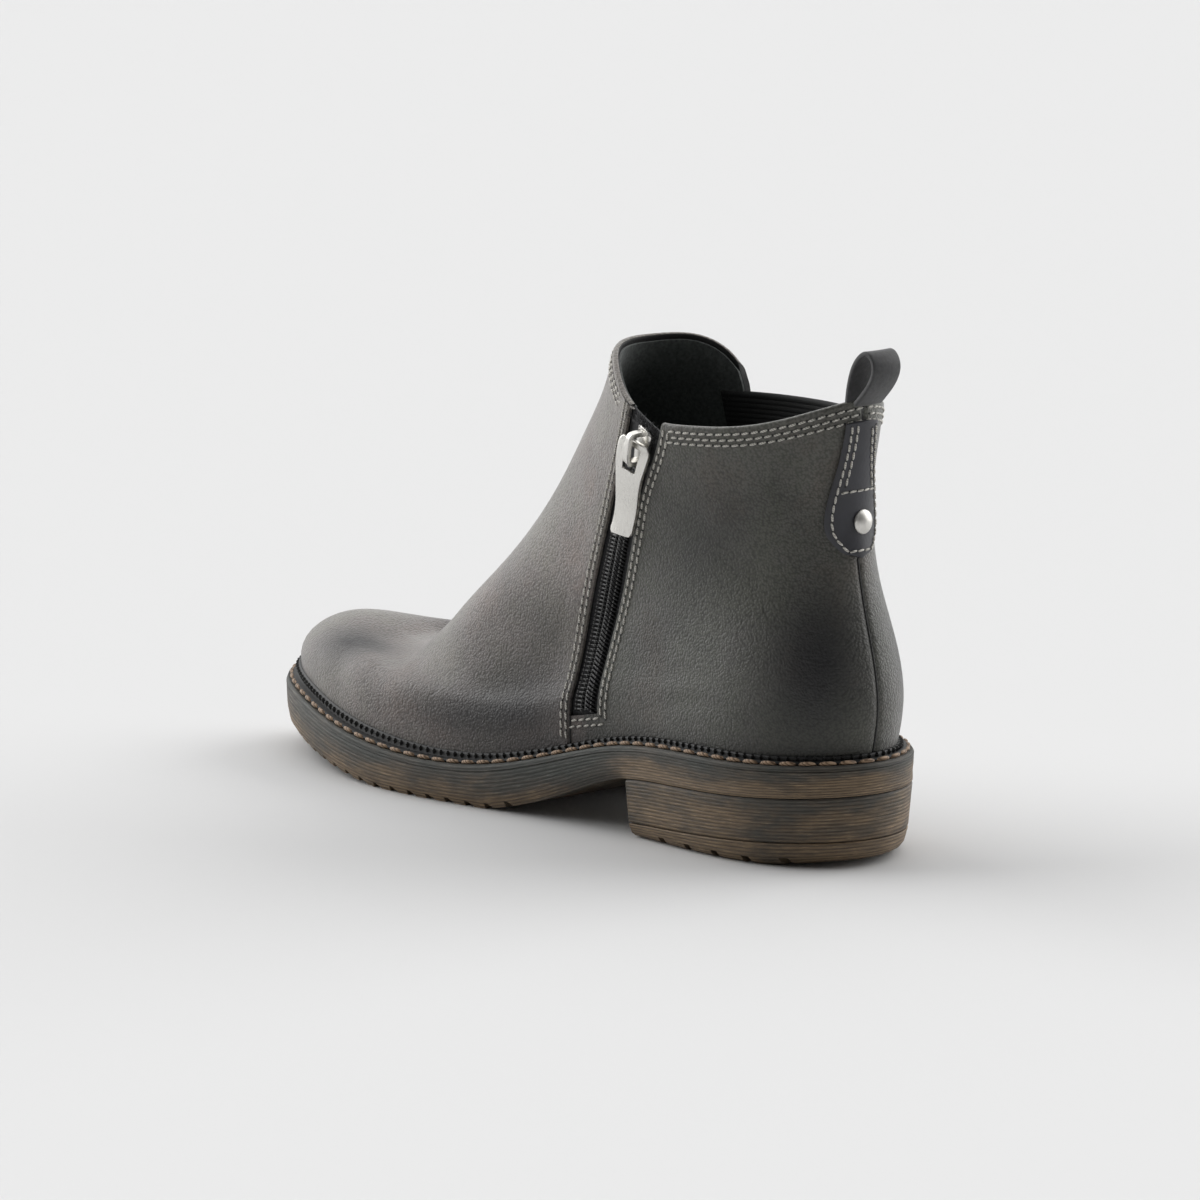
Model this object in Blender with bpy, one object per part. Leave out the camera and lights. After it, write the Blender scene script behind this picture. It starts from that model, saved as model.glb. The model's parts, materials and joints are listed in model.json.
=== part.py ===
"""Ankle bootie with an inside zip, for the right foot.

Sizes are written in millimetres and become metres where a mesh is made. The toe points along -X,
the zip side (the inside of the foot) faces -Y, and the boot stands on Z = 0. The upper is one
hollow wall: a surface between four drawn edges (feather line, front profile, collar, back profile)
whose half-widths come from a table. Every piece that lies on the upper is cut from that surface.
"""

import math

import bmesh
import bpy
import numpy as np
from mathutils import Matrix, Vector

MM = 0.001

# Driving dimensions
SOLE_LENGTH = 273.0
HEEL_BACK = 134.5
WELT_LEDGE = 5.4
UPPER_WALL = 2.0
GAP = 0.3
BACK_GAP = 0.5
HEEL_LENGTH = 82.0
LIFT_FRONT, LIFT_BACK = 4.5, 8.6

FEATHER_TOE = HEEL_BACK - SOLE_LENGTH + WELT_LEDGE
FEATHER_BACK = HEEL_BACK - WELT_LEDGE

# Heights of the sole: x along the foot, top of the sole layer, bottom of the sole layer
SOLE_HEIGHTS = (
    (-138.0, 26.2, 8.6),
    (-110.0, 22.0, 5.6),
    (-80.0, 16.9, 2.2),
    (-45.0, 13.0, -0.8),
    (-10.0, 14.1, -0.2),
    (20.0, 21.2, 8.0),
    (45.0, 27.8, 17.2),
    (70.0, 30.8, 20.1),
    (105.0, 31.6, 21.4),
    (136.0, 32.9, 23.2),
)

# Front profile in the middle plane, from above the feather line at the toe to the top of the flap: x, z
FRONT_PROFILE = (
    (-133.8, 31.6),
    (-129.4, 37.8),
    (-119.5, 42.2),
    (-106.0, 42.4),
    (-92.0, 39.0),
    (-80.0, 38.8),
    (-67.0, 45.0),
    (-51.0, 58.0),
    (-33.5, 73.5),
    (-13.5, 96.5),
    (3.0, 120.5),
    (14.5, 139.0),
    (18.8, 148.2),
)

# Back profile, from above the feather line to the collar: x, z
BACK_PROFILE = (
    (131.8, 48.5),
    (130.6, 60.0),
    (126.6, 75.0),
    (122.6, 93.0),
    (121.4, 106.0),
    (121.8, 118.0),
    (123.6, 132.0),
    (125.0, 143.5),
)

# Collar edge on each side, from the front flap to the back: x, z
COLLAR_INSIDE = (
    (18.8, 148.2),
    (26.0, 147.2),
    (38.0, 141.8),
    (50.0, 136.0),
    (62.0, 132.8),
    (80.0, 132.8),
    (100.0, 134.8),
    (114.0, 138.8),
    (125.0, 143.5),
)
COLLAR_OUTSIDE = (
    (18.8, 148.2),
    (26.0, 149.2),
    (34.0, 146.4),
    (40.0, 140.8),
    (44.5, 134.8),
    (53.0, 130.6),
    (72.0, 129.6),
    (97.0, 132.4),
    (113.0, 138.0),
    (125.0, 143.5),
)

# Half-width of the wall over the sine of its angle round the boot, front (0) to back (180 degrees),
# a row for each level of the wall from the feather line (0) to the collar (1)
GIRTH_ANGLES = (0.0, 40.0, 60.0, 75.0, 90.0, 110.0, 145.0, 180.0)
GIRTH_LEVELS = (0.0, 0.12, 0.30, 0.50, 0.75, 1.0)
GIRTHS = (
    (48.0, 47.6, 48.5, 45.5, 40.0, 34.5, 46.0, 49.0),
    (48.0, 52.0, 51.5, 47.0, 41.0, 35.5, 47.0, 47.5),
    (43.0, 49.0, 44.5, 38.5, 34.5, 33.0, 43.0, 41.0),
    (40.0, 43.5, 37.0, 33.0, 30.0, 31.0, 35.0, 31.5),
    (31.0, 30.5, 30.5, 30.0, 30.0, 30.5, 30.0, 26.5),
    (31.0, 32.0, 33.0, 33.0, 33.0, 32.0, 29.0, 25.5),
)

# Swing of the foot's middle line towards the outside, at the sole: x, y
MIDDLE_LINE = (
    (-137.0, -3.0),
    (-105.0, -1.6),
    (-75.0, 0.2),
    (-45.0, 2.5),
    (-10.0, 5.0),
    (25.0, 5.0),
    (60.0, 3.0),
    (100.0, 1.2),
    (136.0, 0.8),
)
SHAFT_MIDDLE = 0.5

UPPER_COLUMNS = 36
UPPER_ROWS = 17
LEAN_FROM, LEAN_TO = 0.3, 0.9
RING_SPREAD, LEVEL_SPREAD = 0.17, 1.2
FRONT_FADE, BACK_FADE = 1.8, 1.4
# Fall of the toe and vamp from the ridge to both sides: level, drop
CROWN = ((0.0, 0.0), (0.05, 0.5), (0.12, 4.2), (0.2, 4.4), (0.28, 3.2), (0.4, 1.0), (0.55, 0.0), (1.0, 0.0))
CROWN_ANGLE = 22.0

INSIDE, OUTSIDE = -1, 1

# Edge of the sole layer from top to bottom: share of its height, inset, inset round the toe
SOLE_EDGE = (
    (0.0, 0.6, 0.6),
    (0.1, 0.0, 0.0),
    (0.55, 0.2, 0.3),
    (0.8, 0.8, 1.1),
    (1.0, 2.2, 3.2),
)
TOE_ROUND_FROM, TOE_ROUND_LENGTH = -50.0, 60.0
TREAD_FRONT, TREAD_BACK, TREAD_PITCH = -112.0, 4.0, 8.0
TREAD_GROOVE, TREAD_DEPTH = 2.6, 1.6

# Heel block and lift: share of the layer's height, inset from the sole's edge
HEEL_COLUMNS = 48
HEEL_SIDE = ((0.0, 2.2), (0.08, 1.7), (0.9, 0.5), (1.0, 1.0))
LIFT_SIDE = ((0.0, 6.4), (0.12, 4.6), (0.35, 3.2), (0.9, 2.2), (1.0, 2.7))
BREAST_CLEAR, BREAST_SLOPE = 3.0, 0.15
BEVEL_FROM, BEVEL_LIFT = 104.0, 2.4
LIFT_GROOVES = (66.0, 78.0, 90.0, 102.0, 114.0)
LIFT_GROOVE = 2.6

# Welt strip and insole
WELT_INSET, WELT_FLANGE, WELT_LIP, WELT_LIP_LEVEL = 0.8, 1.1, 1.3, 0.032
INSOLE_THICK, INSOLE_CLEAR = 3.0, 0.6

# Zip on the inside: places in side view, widths, depths
ZIP_LINE = ((27.6, 34.8), (28.2, 57.0), (35.2, 83.0), (47.0, 108.0), (60.2, 132.6))
SLOT_FOOT, SLOT_TOP, SLOT_ROWS = 10.5, 13.0, 9
TAPE_WIDTH, TAPE_THICK, TAPE_OVER, TAPE_SHORT = 24.0, 0.8, 1.5, 1.5
TAPE_ROWS, TAPE_COLUMNS = 15, 7
COIL_WIDTH, COIL_THICK, COIL_FOOT, COIL_COLUMNS = 7.5, 1.6, 1.0, 5
SLIDER_DOWN, SLIDER_LENGTH, SLIDER_WIDTH = 8.0, 13.0, 8.6
SLIDER_TOP, SLIDER_FOOT = 1.2, 7.0
BRIDGE_WIDTH, BRIDGE_THICK = 3.0, 1.2
# Bridge over the slider in its own side view: along the zip, height above the leather
BRIDGE = ((-4.0, 0.8), (-3.9, 2.6), (-3.0, 4.0), (-1.4, 4.5), (1.4, 4.5), (3.0, 4.0), (3.9, 2.6), (4.0, 0.8))
PIVOT_ALONG, PIVOT_OUT = 0.3, 2.6
PULL_LENGTH, PULL_THICK, PULL_CLEAR = 32.0, 1.5, 1.6
# Pull tab: distance below the pivot, half-width
PULL_OUTLINE = ((-0.75, 4.0), (0.0, 4.6), (7.5, 4.6), (12.0, 3.9), (22.0, 4.3), (29.0, 4.9), (31.2, 4.4), (32.0, 3.2))
PULL_WINDOW = (2.1, 0.75, 7.5)

# Gore: cut-out in the leather, and the panel behind it by height, front edge, back edge
GORE_OUTLINE = (
    (40.2, 175.0),
    (40.2, 131.0),
    (42.5, 112.0),
    (46.5, 92.0),
    (51.5, 78.0),
    (57.0, 71.5),
    (62.0, 69.0),
    (67.0, 71.0),
    (72.0, 78.0),
    (78.0, 96.0),
    (83.0, 115.0),
    (87.0, 131.0),
    (87.0, 175.0),
)
GORE_PANEL = ((62.0, 53.0, 71.0), (75.0, 45.5, 79.0), (95.0, 39.0, 86.0), (115.0, 35.0, 91.0), (129.0, 33.5, 94.5))
GORE_ROWS, GORE_COLUMNS, GORE_THICK = 13, 11, 1.6

# Heel tab on the back seam: height, half-width
HEEL_TAB = (
    (141.2, 5.6),
    (132.0, 5.9),
    (122.0, 6.9),
    (113.0, 8.3),
    (106.0, 8.9),
    (101.0, 8.0),
    (98.0, 6.4),
    (96.0, 4.6),
    (94.8, 2.2),
)
TAB_COLUMNS, TAB_THICK = 11, 1.4
RIVET_HEIGHT, RIVET_SIDES = 105.4, 20
# Rivet dome: radius, height
RIVET = ((3.7, 0.0), (4.0, 0.5), (3.8, 1.2), (3.1, 1.9), (1.9, 2.4), (0.7, 2.6))

# Pull loop: middle of the strip in the back plane, from inside the collar over to the outside
PULL_LOOP = (
    (118.5, 128.4),
    (119.9, 136.4),
    (121.5, 144.4),
    (124.4, 151.6),
    (128.2, 157.0),
    (132.2, 158.8),
    (134.9, 155.9),
    (133.8, 150.6),
    (130.0, 145.9),
    (126.6, 142.6),
)
LOOP_ROWS, LOOP_COLUMNS, LOOP_WIDTH, LOOP_THICK, LOOP_BEND = 25, 7, 10.8, 1.6, 24.0

CUT_OVER, CUT_REACH, CUT_CLEAR = 40.0, 90.0, 4.0

# Base colours of the pieces
LEATHER = (0.10, 0.095, 0.09)
SOLE_BROWN = (0.10, 0.075, 0.055)
RUBBER_BLACK = (0.02, 0.02, 0.022)
LINING = (0.02, 0.02, 0.02)
ELASTIC = (0.02, 0.02, 0.022)
TAPE_BLACK = (0.02, 0.02, 0.02)
COIL_BLACK = (0.03, 0.03, 0.03)
NICKEL = (0.55, 0.54, 0.52)
TAB_NAVY = (0.03, 0.032, 0.04)
LOOP_BLACK = (0.03, 0.03, 0.033)


def spline(knots, values):
    """Natural cubic spline through the values, as a function of the knots' parameter."""
    t = np.asarray(knots, float)
    v = np.asarray(values, float)
    h = np.diff(t)
    count = len(t)
    matrix = np.zeros((count, count))
    right = np.zeros_like(v)
    matrix[0, 0] = matrix[-1, -1] = 1.0
    for i in range(1, count - 1):
        matrix[i, i - 1 : i + 2] = h[i - 1], 2 * (h[i - 1] + h[i]), h[i]
        right[i] = 6 * ((v[i + 1] - v[i]) / h[i] - (v[i] - v[i - 1]) / h[i - 1])
    bend = np.linalg.solve(matrix, right)

    def at(q):
        q = np.clip(np.asarray(q, float), t[0], t[-1])
        i = np.clip(np.searchsorted(t, q) - 1, 0, count - 2)
        shape = q.shape + (1,) * (v.ndim - 1)
        step = h[i].reshape(shape)
        a = (t[i + 1] - q).reshape(shape) / step
        b = 1 - a
        curve = ((a**3 - a) * bend[i] + (b**3 - b) * bend[i + 1]) * step**2 / 6
        return a * v[i] + b * v[i + 1] + curve

    return at


def drawn_line(points):
    """Smooth line through points, as a function of the share of its length from 0 to 1."""
    points = np.asarray(points, float)
    length = np.r_[0, np.cumsum(np.linalg.norm(np.diff(points, axis=0), axis=1))]
    return spline(length / length[-1], points)


def column(table, index):
    return spline([row[0] for row in table], [row[index] for row in table])


sole_top = column(SOLE_HEIGHTS, 1)
sole_spring = column(SOLE_HEIGHTS, 2)
crown = column(CROWN, 1)
front_profile = drawn_line(((FEATHER_TOE, sole_top(FEATHER_TOE) + GAP), *FRONT_PROFILE))
back_profile = drawn_line(((FEATHER_BACK, sole_top(FEATHER_BACK) + GAP), *BACK_PROFILE))
collar_height = {INSIDE: column(COLLAR_INSIDE, 1), OUTSIDE: column(COLLAR_OUTSIDE, 1)}
middle_line = column(MIDDLE_LINE, 1)
girth_round = spline(GIRTH_ANGLES, np.transpose(GIRTHS))
girth_up = spline(GIRTH_LEVELS, np.eye(len(GIRTH_LEVELS)))


def smooth(q):
    q = np.clip(q, 0, 1)
    return q * q * (3 - 2 * q)


def upper_surface(theta, level, side):
    """Outer face of the upper: theta runs from the front (0) to the back (pi) on one side."""
    theta, level = np.broadcast_arrays(np.asarray(theta, float), np.asarray(level, float))
    share = (1 - np.cos(theta)) / 2
    v, w = level[..., None], share[..., None]
    foot_x = FEATHER_TOE + share * (FEATHER_BACK - FEATHER_TOE)
    foot = np.stack([foot_x, sole_top(foot_x) + GAP], axis=-1)
    front_foot, front_top = front_profile(0.0), front_profile(1.0)
    back_foot, back_top = back_profile(0.0), back_profile(1.0)
    top_x = front_top[0] + share * (back_top[0] - front_top[0])
    top = np.stack([top_x, collar_height[side](top_x)], axis=-1)
    front_pull = front_profile(level) - (1 - v) * front_foot - v * front_top
    back_pull = back_profile(level) - (1 - v) * back_foot - v * back_top
    flat = (1 - v) * foot + v * top + (1 - w) ** FRONT_FADE * front_pull + w**BACK_FADE * back_pull
    fall = 1 - np.exp(-((np.degrees(theta) / CROWN_ANGLE) ** 2))
    flat[..., 1] -= crown(level) * fall * (1 - share) ** 4
    lean = smooth((level - LEAN_FROM) / (LEAN_TO - LEAN_FROM))
    middle = (1 - lean) * middle_line(flat[..., 0]) + lean * SHAFT_MIDDLE
    half = (girth_round(np.degrees(theta)) * girth_up(level)).sum(axis=-1) * np.sin(theta)
    return np.stack([flat[..., 0], middle + side * half, flat[..., 1]], axis=-1)


def upper_normal(theta, level, side):
    """Unit normal out of the upper's outer face."""
    step = 1e-3
    theta = np.clip(theta, 2 * step, math.pi - 2 * step)
    level = np.clip(level, step, 1 - step)
    round_way = upper_surface(theta + step, level, side) - upper_surface(theta - step, level, side)
    up_way = upper_surface(theta, level + step, side) - upper_surface(theta, level - step, side)
    normal = -side * np.cross(round_way, up_way)
    return normal / np.linalg.norm(normal, axis=-1, keepdims=True)


def upper_layer(theta, level, side, depth):
    """Point at a depth under the upper's outer face (negative: above it)."""
    return upper_surface(theta, level, side) - depth * upper_normal(theta, level, side)


def find_on_upper(first, second, side, axes, theta, level):
    """Angle and level at which two coordinates of the upper's face take the given values."""
    first, second = np.broadcast_arrays(np.asarray(first, float), np.asarray(second, float))
    theta = np.full(first.shape, theta)
    level = np.full(first.shape, level)
    step = 1e-4
    for _ in range(40):
        here = upper_surface(theta, level, side)[..., axes]
        miss = np.stack([first, second], axis=-1) - here
        by_theta = (upper_surface(theta + step, level, side)[..., axes] - here) / step
        by_level = (upper_surface(theta, level + step, side)[..., axes] - here) / step
        area = by_theta[..., 0] * by_level[..., 1] - by_theta[..., 1] * by_level[..., 0]
        d_theta = (miss[..., 0] * by_level[..., 1] - miss[..., 1] * by_level[..., 0]) / area
        d_level = (by_theta[..., 0] * miss[..., 1] - by_theta[..., 1] * miss[..., 0]) / area
        theta = np.clip(theta + np.clip(d_theta, -0.2, 0.2), 0.02, math.pi - 0.02)
        level = np.clip(level + np.clip(d_level, -0.1, 0.1), 0.0, 1 - 2 * step)
    return theta, level


SIDE_VIEW = [0, 2]
BACK_VIEW = [1, 2]


def side_layer(x, z, side, depth):
    """Layer point of one side's wall at a place in side view."""
    theta, level = find_on_upper(x, z, side, SIDE_VIEW, math.pi / 2, 0.6)
    return upper_layer(theta, level, side, depth)


def round_wall(columns, level, depth):
    """One closed ring of the wall: front, inside, back, outside."""
    share = np.linspace(0, 1, columns + 1)
    theta = math.pi * share + RING_SPREAD * np.sin(2 * math.pi * share)
    inside = upper_layer(theta, np.full_like(theta, level), INSIDE, depth)
    outside = upper_layer(theta, np.full_like(theta, level), OUTSIDE, depth)
    ends = (inside[[0, -1]] + outside[[0, -1]]) / 2
    return np.concatenate([ends[:1], inside[1:-1], ends[1:], outside[-2:0:-1]])


def spread(ring, distance):
    """The ring moved outwards in plan by a distance."""
    way = np.roll(ring, -1, axis=0) - np.roll(ring, 1, axis=0)
    normal = np.stack([-way[:, 1], way[:, 0], np.zeros(len(ring))], axis=-1)
    normal /= np.linalg.norm(normal, axis=-1, keepdims=True)
    return ring - normal * np.reshape(distance, (-1, 1))


def at_height(ring, height):
    ring = ring.copy()
    ring[:, 2] = height
    return ring


def grid_faces(rows, columns, close_rows, close_columns):
    """Quads of a grid of points, row after row."""
    faces = []
    for j in range(rows if close_rows else rows - 1):
        for i in range(columns if close_columns else columns - 1):
            j2, i2 = (j + 1) % rows, (i + 1) % columns
            faces.append((j * columns + i, j * columns + i2, j2 * columns + i2, j2 * columns + i))
    return faces


def strip_faces(left, right):
    """Quads between two paired lists of points; shared ends make triangles."""
    faces = []
    for a, b, c, d in zip(left, left[1:], right[1:], right):
        faces.append(tuple(dict.fromkeys((a, b, c, d))))
    return faces


def new_object(name, points, faces, colour, metallic=0.0, roughness=0.6, place=None):
    """A closed mesh with its own material; points are in millimetres."""
    mesh = bpy.data.meshes.new(name)
    mesh.from_pydata([tuple(p) for p in np.asarray(points) * MM], [], faces)
    mesh.update()
    material = bpy.data.materials.new(name)
    material.use_nodes = True
    shader = material.node_tree.nodes["Principled BSDF"]
    shader.inputs["Base Color"].default_value = (*colour, 1.0)
    shader.inputs["Metallic"].default_value = metallic
    shader.inputs["Roughness"].default_value = roughness
    mesh.materials.append(material)
    item = bpy.data.objects.new(name, mesh)
    bpy.context.scene.collection.objects.link(item)
    item.parent = root
    if place is not None:
        item.matrix_local = place
    fix_normals(mesh)
    return item


def fix_normals(mesh):
    """All faces turned outwards."""
    work = bmesh.new()
    work.from_mesh(mesh)
    bmesh.ops.recalc_face_normals(work, faces=work.faces)
    if work.calc_volume(signed=True) < 0:
        bmesh.ops.reverse_faces(work, faces=work.faces)
    work.to_mesh(mesh)
    work.free()


def stack(name, rings, left, right, colour, **finish):
    """Solid through closed rings, capped across between its two sides."""
    count = len(rings[0])
    faces = grid_faces(len(rings), count, False, True)
    last = (len(rings) - 1) * count
    faces += strip_faces(left, right)
    faces += strip_faces([i + last for i in right], [i + last for i in left])
    return new_object(name, np.concatenate(rings), faces, colour, **finish)


def slab(name, outer, inner, colour, **finish):
    """Sheet of real thickness between two grids of points."""
    rows, columns = outer.shape[:2]
    count = rows * columns
    top = grid_faces(rows, columns, False, False)
    faces = top + [tuple(i + count for i in face[::-1]) for face in top]
    rim = [i for i in range(columns)]
    rim += [j * columns + columns - 1 for j in range(1, rows)]
    rim += [(rows - 1) * columns + i for i in range(columns - 2, -1, -1)]
    rim += [j * columns for j in range(rows - 2, 0, -1)]
    for a, b in zip(rim, rim[1:] + rim[:1]):
        faces.append((a, a + count, b + count, b))
    points = np.concatenate([outer.reshape(-1, 3), inner.reshape(-1, 3)])
    return new_object(name, points, faces, colour, **finish)


def prism_points(outline, low, high):
    """Points and faces of an outline in side view pushed along Y."""
    count = len(outline)
    points = [(x, low, z) for x, z in outline] + [(x, high, z) for x, z in outline]
    faces = [tuple(range(count)), tuple(range(2 * count - 1, count - 1, -1))]
    faces += [(i, (i + 1) % count, (i + 1) % count + count, i + count) for i in range(count)]
    return points, faces


def combine(target, operation, name, points, faces, place):
    """Add a shape to an object or cut it out."""
    tool = new_object(name, points, faces, (0.5, 0.5, 0.5), place=place)
    tool.hide_render = True
    tool.display_type = "WIRE"
    modifier = target.modifiers.new(name, "BOOLEAN")
    modifier.operation = operation
    modifier.solver = "EXACT"
    modifier.object = tool


def cut(target, name, points, faces, place=None):
    combine(target, "DIFFERENCE", name, points, faces, place)


def join(target, name, points, faces, place=None):
    combine(target, "UNION", name, points, faces, place)


def boxes(spans):
    """Points and faces of separate boxes, each given by its low and high corner."""
    points, faces = [], []
    for low, high in spans:
        base = len(points)
        points += [(x, y, z) for z in (low[2], high[2]) for y in (low[1], high[1]) for x in (low[0], high[0])]
        quads = ((0, 2, 3, 1), (4, 5, 7, 6), (0, 1, 5, 4), (2, 6, 7, 3), (0, 4, 6, 2), (1, 3, 7, 5))
        faces += [tuple(base + i for i in quad) for quad in quads]
    return points, faces


for old in list(bpy.data.objects):
    bpy.data.objects.remove(old)
root = bpy.data.objects.new("bootie", None)
bpy.context.scene.collection.objects.link(root)

# Upper: outer face and inner face of one wall, closed at the collar and at the feather line
levels = np.linspace(0, 1, UPPER_ROWS + 1) ** LEVEL_SPREAD
outer_rings = [round_wall(UPPER_COLUMNS, v, 0.0) for v in levels]
inner_rings = [round_wall(UPPER_COLUMNS, v, UPPER_WALL) for v in levels]
wall_rings = outer_rings + inner_rings[::-1]
upper = new_object(
    "upper",
    np.concatenate(wall_rings),
    grid_faces(len(wall_rings), 2 * UPPER_COLUMNS, True, True),
    LEATHER,
)

# Zip slot and gore cut-out, both open at the collar
zip_line = drawn_line(ZIP_LINE)
zip_length = np.linalg.norm(np.diff(zip_line(np.linspace(0, 1, 50)), axis=0), axis=1).sum()


def zip_place(along, across):
    """Place in side view, along the zip from its foot and across it towards the back."""
    along, across = np.broadcast_arrays(np.asarray(along, float), np.asarray(across, float))
    share = np.clip(along / zip_length, 0, 1)
    way = zip_line(share + 0.01) - zip_line(share - 0.01)
    way /= np.linalg.norm(way, axis=-1, keepdims=True)
    over = (along - share * zip_length)[..., None]
    return zip_line(share) + over * way + across[..., None] * np.stack([way[..., 1], -way[..., 0]], axis=-1)


def zip_layer(along, across, depth):
    place = zip_place(along, across)
    return side_layer(place[..., 0], place[..., 1], INSIDE, depth)


slot_along = np.append(np.linspace(0, zip_length, SLOT_ROWS), zip_length + CUT_OVER)
slot_half = (SLOT_FOOT + (SLOT_TOP - SLOT_FOOT) * np.clip(slot_along / zip_length, 0, 1)) / 2
slot = np.concatenate([zip_place(slot_along, slot_half), zip_place(slot_along, -slot_half)[::-1]])
cut(upper, "zip_slot", *prism_points(slot, -CUT_REACH, -CUT_CLEAR))
cut(upper, "gore_opening", *prism_points(GORE_OUTLINE, CUT_CLEAR, CUT_REACH))

# Sole layer: the feather line spread out by the ledge, with an edge profile from top to bottom
feather = outer_rings[0]
sole_edge = spread(feather, WELT_LEDGE)
plan_left = list(range(UPPER_COLUMNS + 1))
plan_right = [0] + list(range(2 * UPPER_COLUMNS - 1, UPPER_COLUMNS - 1, -1))


def sole_bottom(x):
    return np.maximum(sole_spring(x), 0.0)


sole_rings = []
for share, inset, toe_inset in SOLE_EDGE:
    toe = smooth((TOE_ROUND_FROM - sole_edge[:, 0]) / TOE_ROUND_LENGTH)
    ring = spread(sole_edge, -(inset + (toe_inset - inset) * toe))
    x = ring[:, 0]
    sole_rings.append(at_height(ring, sole_top(x) + share * (sole_bottom(x) - sole_top(x))))
outsole = stack("outsole", sole_rings, plan_left, plan_right, SOLE_BROWN)
lugs = []
for x in np.arange(TREAD_FRONT, TREAD_BACK, TREAD_PITCH):
    low = float(sole_bottom(x))
    lugs.append(((x, -CUT_REACH, low - CUT_OVER), (x + TREAD_GROOVE, CUT_REACH, low + TREAD_DEPTH)))
cut(outsole, "tread_grooves", *boxes(lugs))

# Heel: the sole's edge behind the breast, tapering down in two layers
BREAST = HEEL_BACK - HEEL_LENGTH
count = 2 * UPPER_COLUMNS
fine = HEEL_COLUMNS
fine_ring = spread(round_wall(fine, 0.0, 0.0), WELT_LEDGE)
heel_edge = [p for p in fine_ring if p[0] > BREAST + BREAST_CLEAR]
half = len(heel_edge) // 2


def breast_corner(near):
    corner = near.copy()
    corner[0] = BREAST
    return corner


heel_edge = np.array([breast_corner(heel_edge[0])] + heel_edge + [breast_corner(heel_edge[-1])])
heel_left = list(range(half + 2))
heel_right = list(range(len(heel_edge) - 1, half, -1))


def heel_ring(inset, height):
    """Heel outline drawn in by an inset, at a height that may follow x."""
    ring = spread(heel_edge, -inset)
    ring[0, 0] = ring[-1, 0] = BREAST + inset * BREAST_SLOPE
    ring[0, 1], ring[-1, 1] = heel_edge[0, 1] + inset, heel_edge[-1, 1] - inset
    return at_height(ring, height(ring[:, 0]))


def lift_top(x):
    return LIFT_FRONT + (LIFT_BACK - LIFT_FRONT) * (x - BREAST) / HEEL_LENGTH


def block_height(share):
    def at(x):
        top = sole_bottom(x) - GAP
        bottom = lift_top(x) + GAP
        return bottom + share * (top - bottom)

    return at


def lift_height(share):
    def at(x):
        bottom = BEVEL_LIFT * smooth((x - BEVEL_FROM) / (HEEL_BACK - BEVEL_FROM))
        return bottom + share * (lift_top(x) - bottom)

    return at


heel_rings = [heel_ring(inset, block_height(share)) for share, inset in HEEL_SIDE]
heel = stack("heel", heel_rings, heel_left, heel_right, SOLE_BROWN)
lift_rings = [heel_ring(inset, lift_height(share)) for share, inset in LIFT_SIDE]
heel_lift = stack("heel_lift", lift_rings, heel_left, heel_right, SOLE_BROWN)
notches = []
for x in LIFT_GROOVES:
    notches.append(((x, -CUT_REACH, -CUT_OVER), (x + LIFT_GROOVE, CUT_REACH, TREAD_DEPTH)))
cut(heel_lift, "lift_grooves", *boxes(notches))

# Welt: flange on the sole's ledge with a lip up the foot of the upper
lip = round_wall(UPPER_COLUMNS, WELT_LIP_LEVEL, 0.0)


def ledge_ring(distance, lift):
    """Ring at a distance outside the feather line, lifted off the sole's ledge."""
    ring = spread(feather, distance)
    return at_height(ring, sole_top(ring[:, 0]) + lift)


welt_rings = [
    ledge_ring(GAP, GAP),
    ledge_ring(WELT_LEDGE - WELT_INSET, GAP),
    ledge_ring(WELT_LEDGE - WELT_INSET, GAP + WELT_FLANGE),
    ledge_ring(GAP + WELT_LIP, GAP + WELT_FLANGE),
    spread(lip, GAP + WELT_LIP),
    spread(lip, GAP),
]
welt = new_object("welt", np.concatenate(welt_rings), grid_faces(len(welt_rings), count, True, True), RUBBER_BLACK)

# Insole on the sole layer, inside the wall
floor_ring = spread(feather, -(UPPER_WALL + INSOLE_CLEAR))
insole_rings = []
for height in (GAP, GAP + INSOLE_THICK):
    insole_rings.append(at_height(floor_ring, sole_top(floor_ring[:, 0]) + height))
insole = stack("insole", insole_rings, plan_left, plan_right, LINING)

# Gore: elastic panel behind its cut-out
gore_rows = np.linspace(0, 1, GORE_ROWS)
front_edge = spline([row[0] for row in GORE_PANEL], [row[1] for row in GORE_PANEL])
back_edge = spline([row[0] for row in GORE_PANEL], [row[2] for row in GORE_PANEL])
gore_z = GORE_PANEL[0][0] + gore_rows * (GORE_PANEL[-1][0] - GORE_PANEL[0][0])
gore_share = np.linspace(0, 1, GORE_COLUMNS)
gore_x = front_edge(gore_z)[:, None] + gore_share * (back_edge(gore_z) - front_edge(gore_z))[:, None]
gore_z = np.broadcast_to(gore_z[:, None], gore_x.shape)
gore = slab(
    "gore",
    side_layer(gore_x, gore_z, OUTSIDE, UPPER_WALL + BACK_GAP),
    side_layer(gore_x, gore_z, OUTSIDE, UPPER_WALL + BACK_GAP + GORE_THICK),
    ELASTIC,
)

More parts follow.
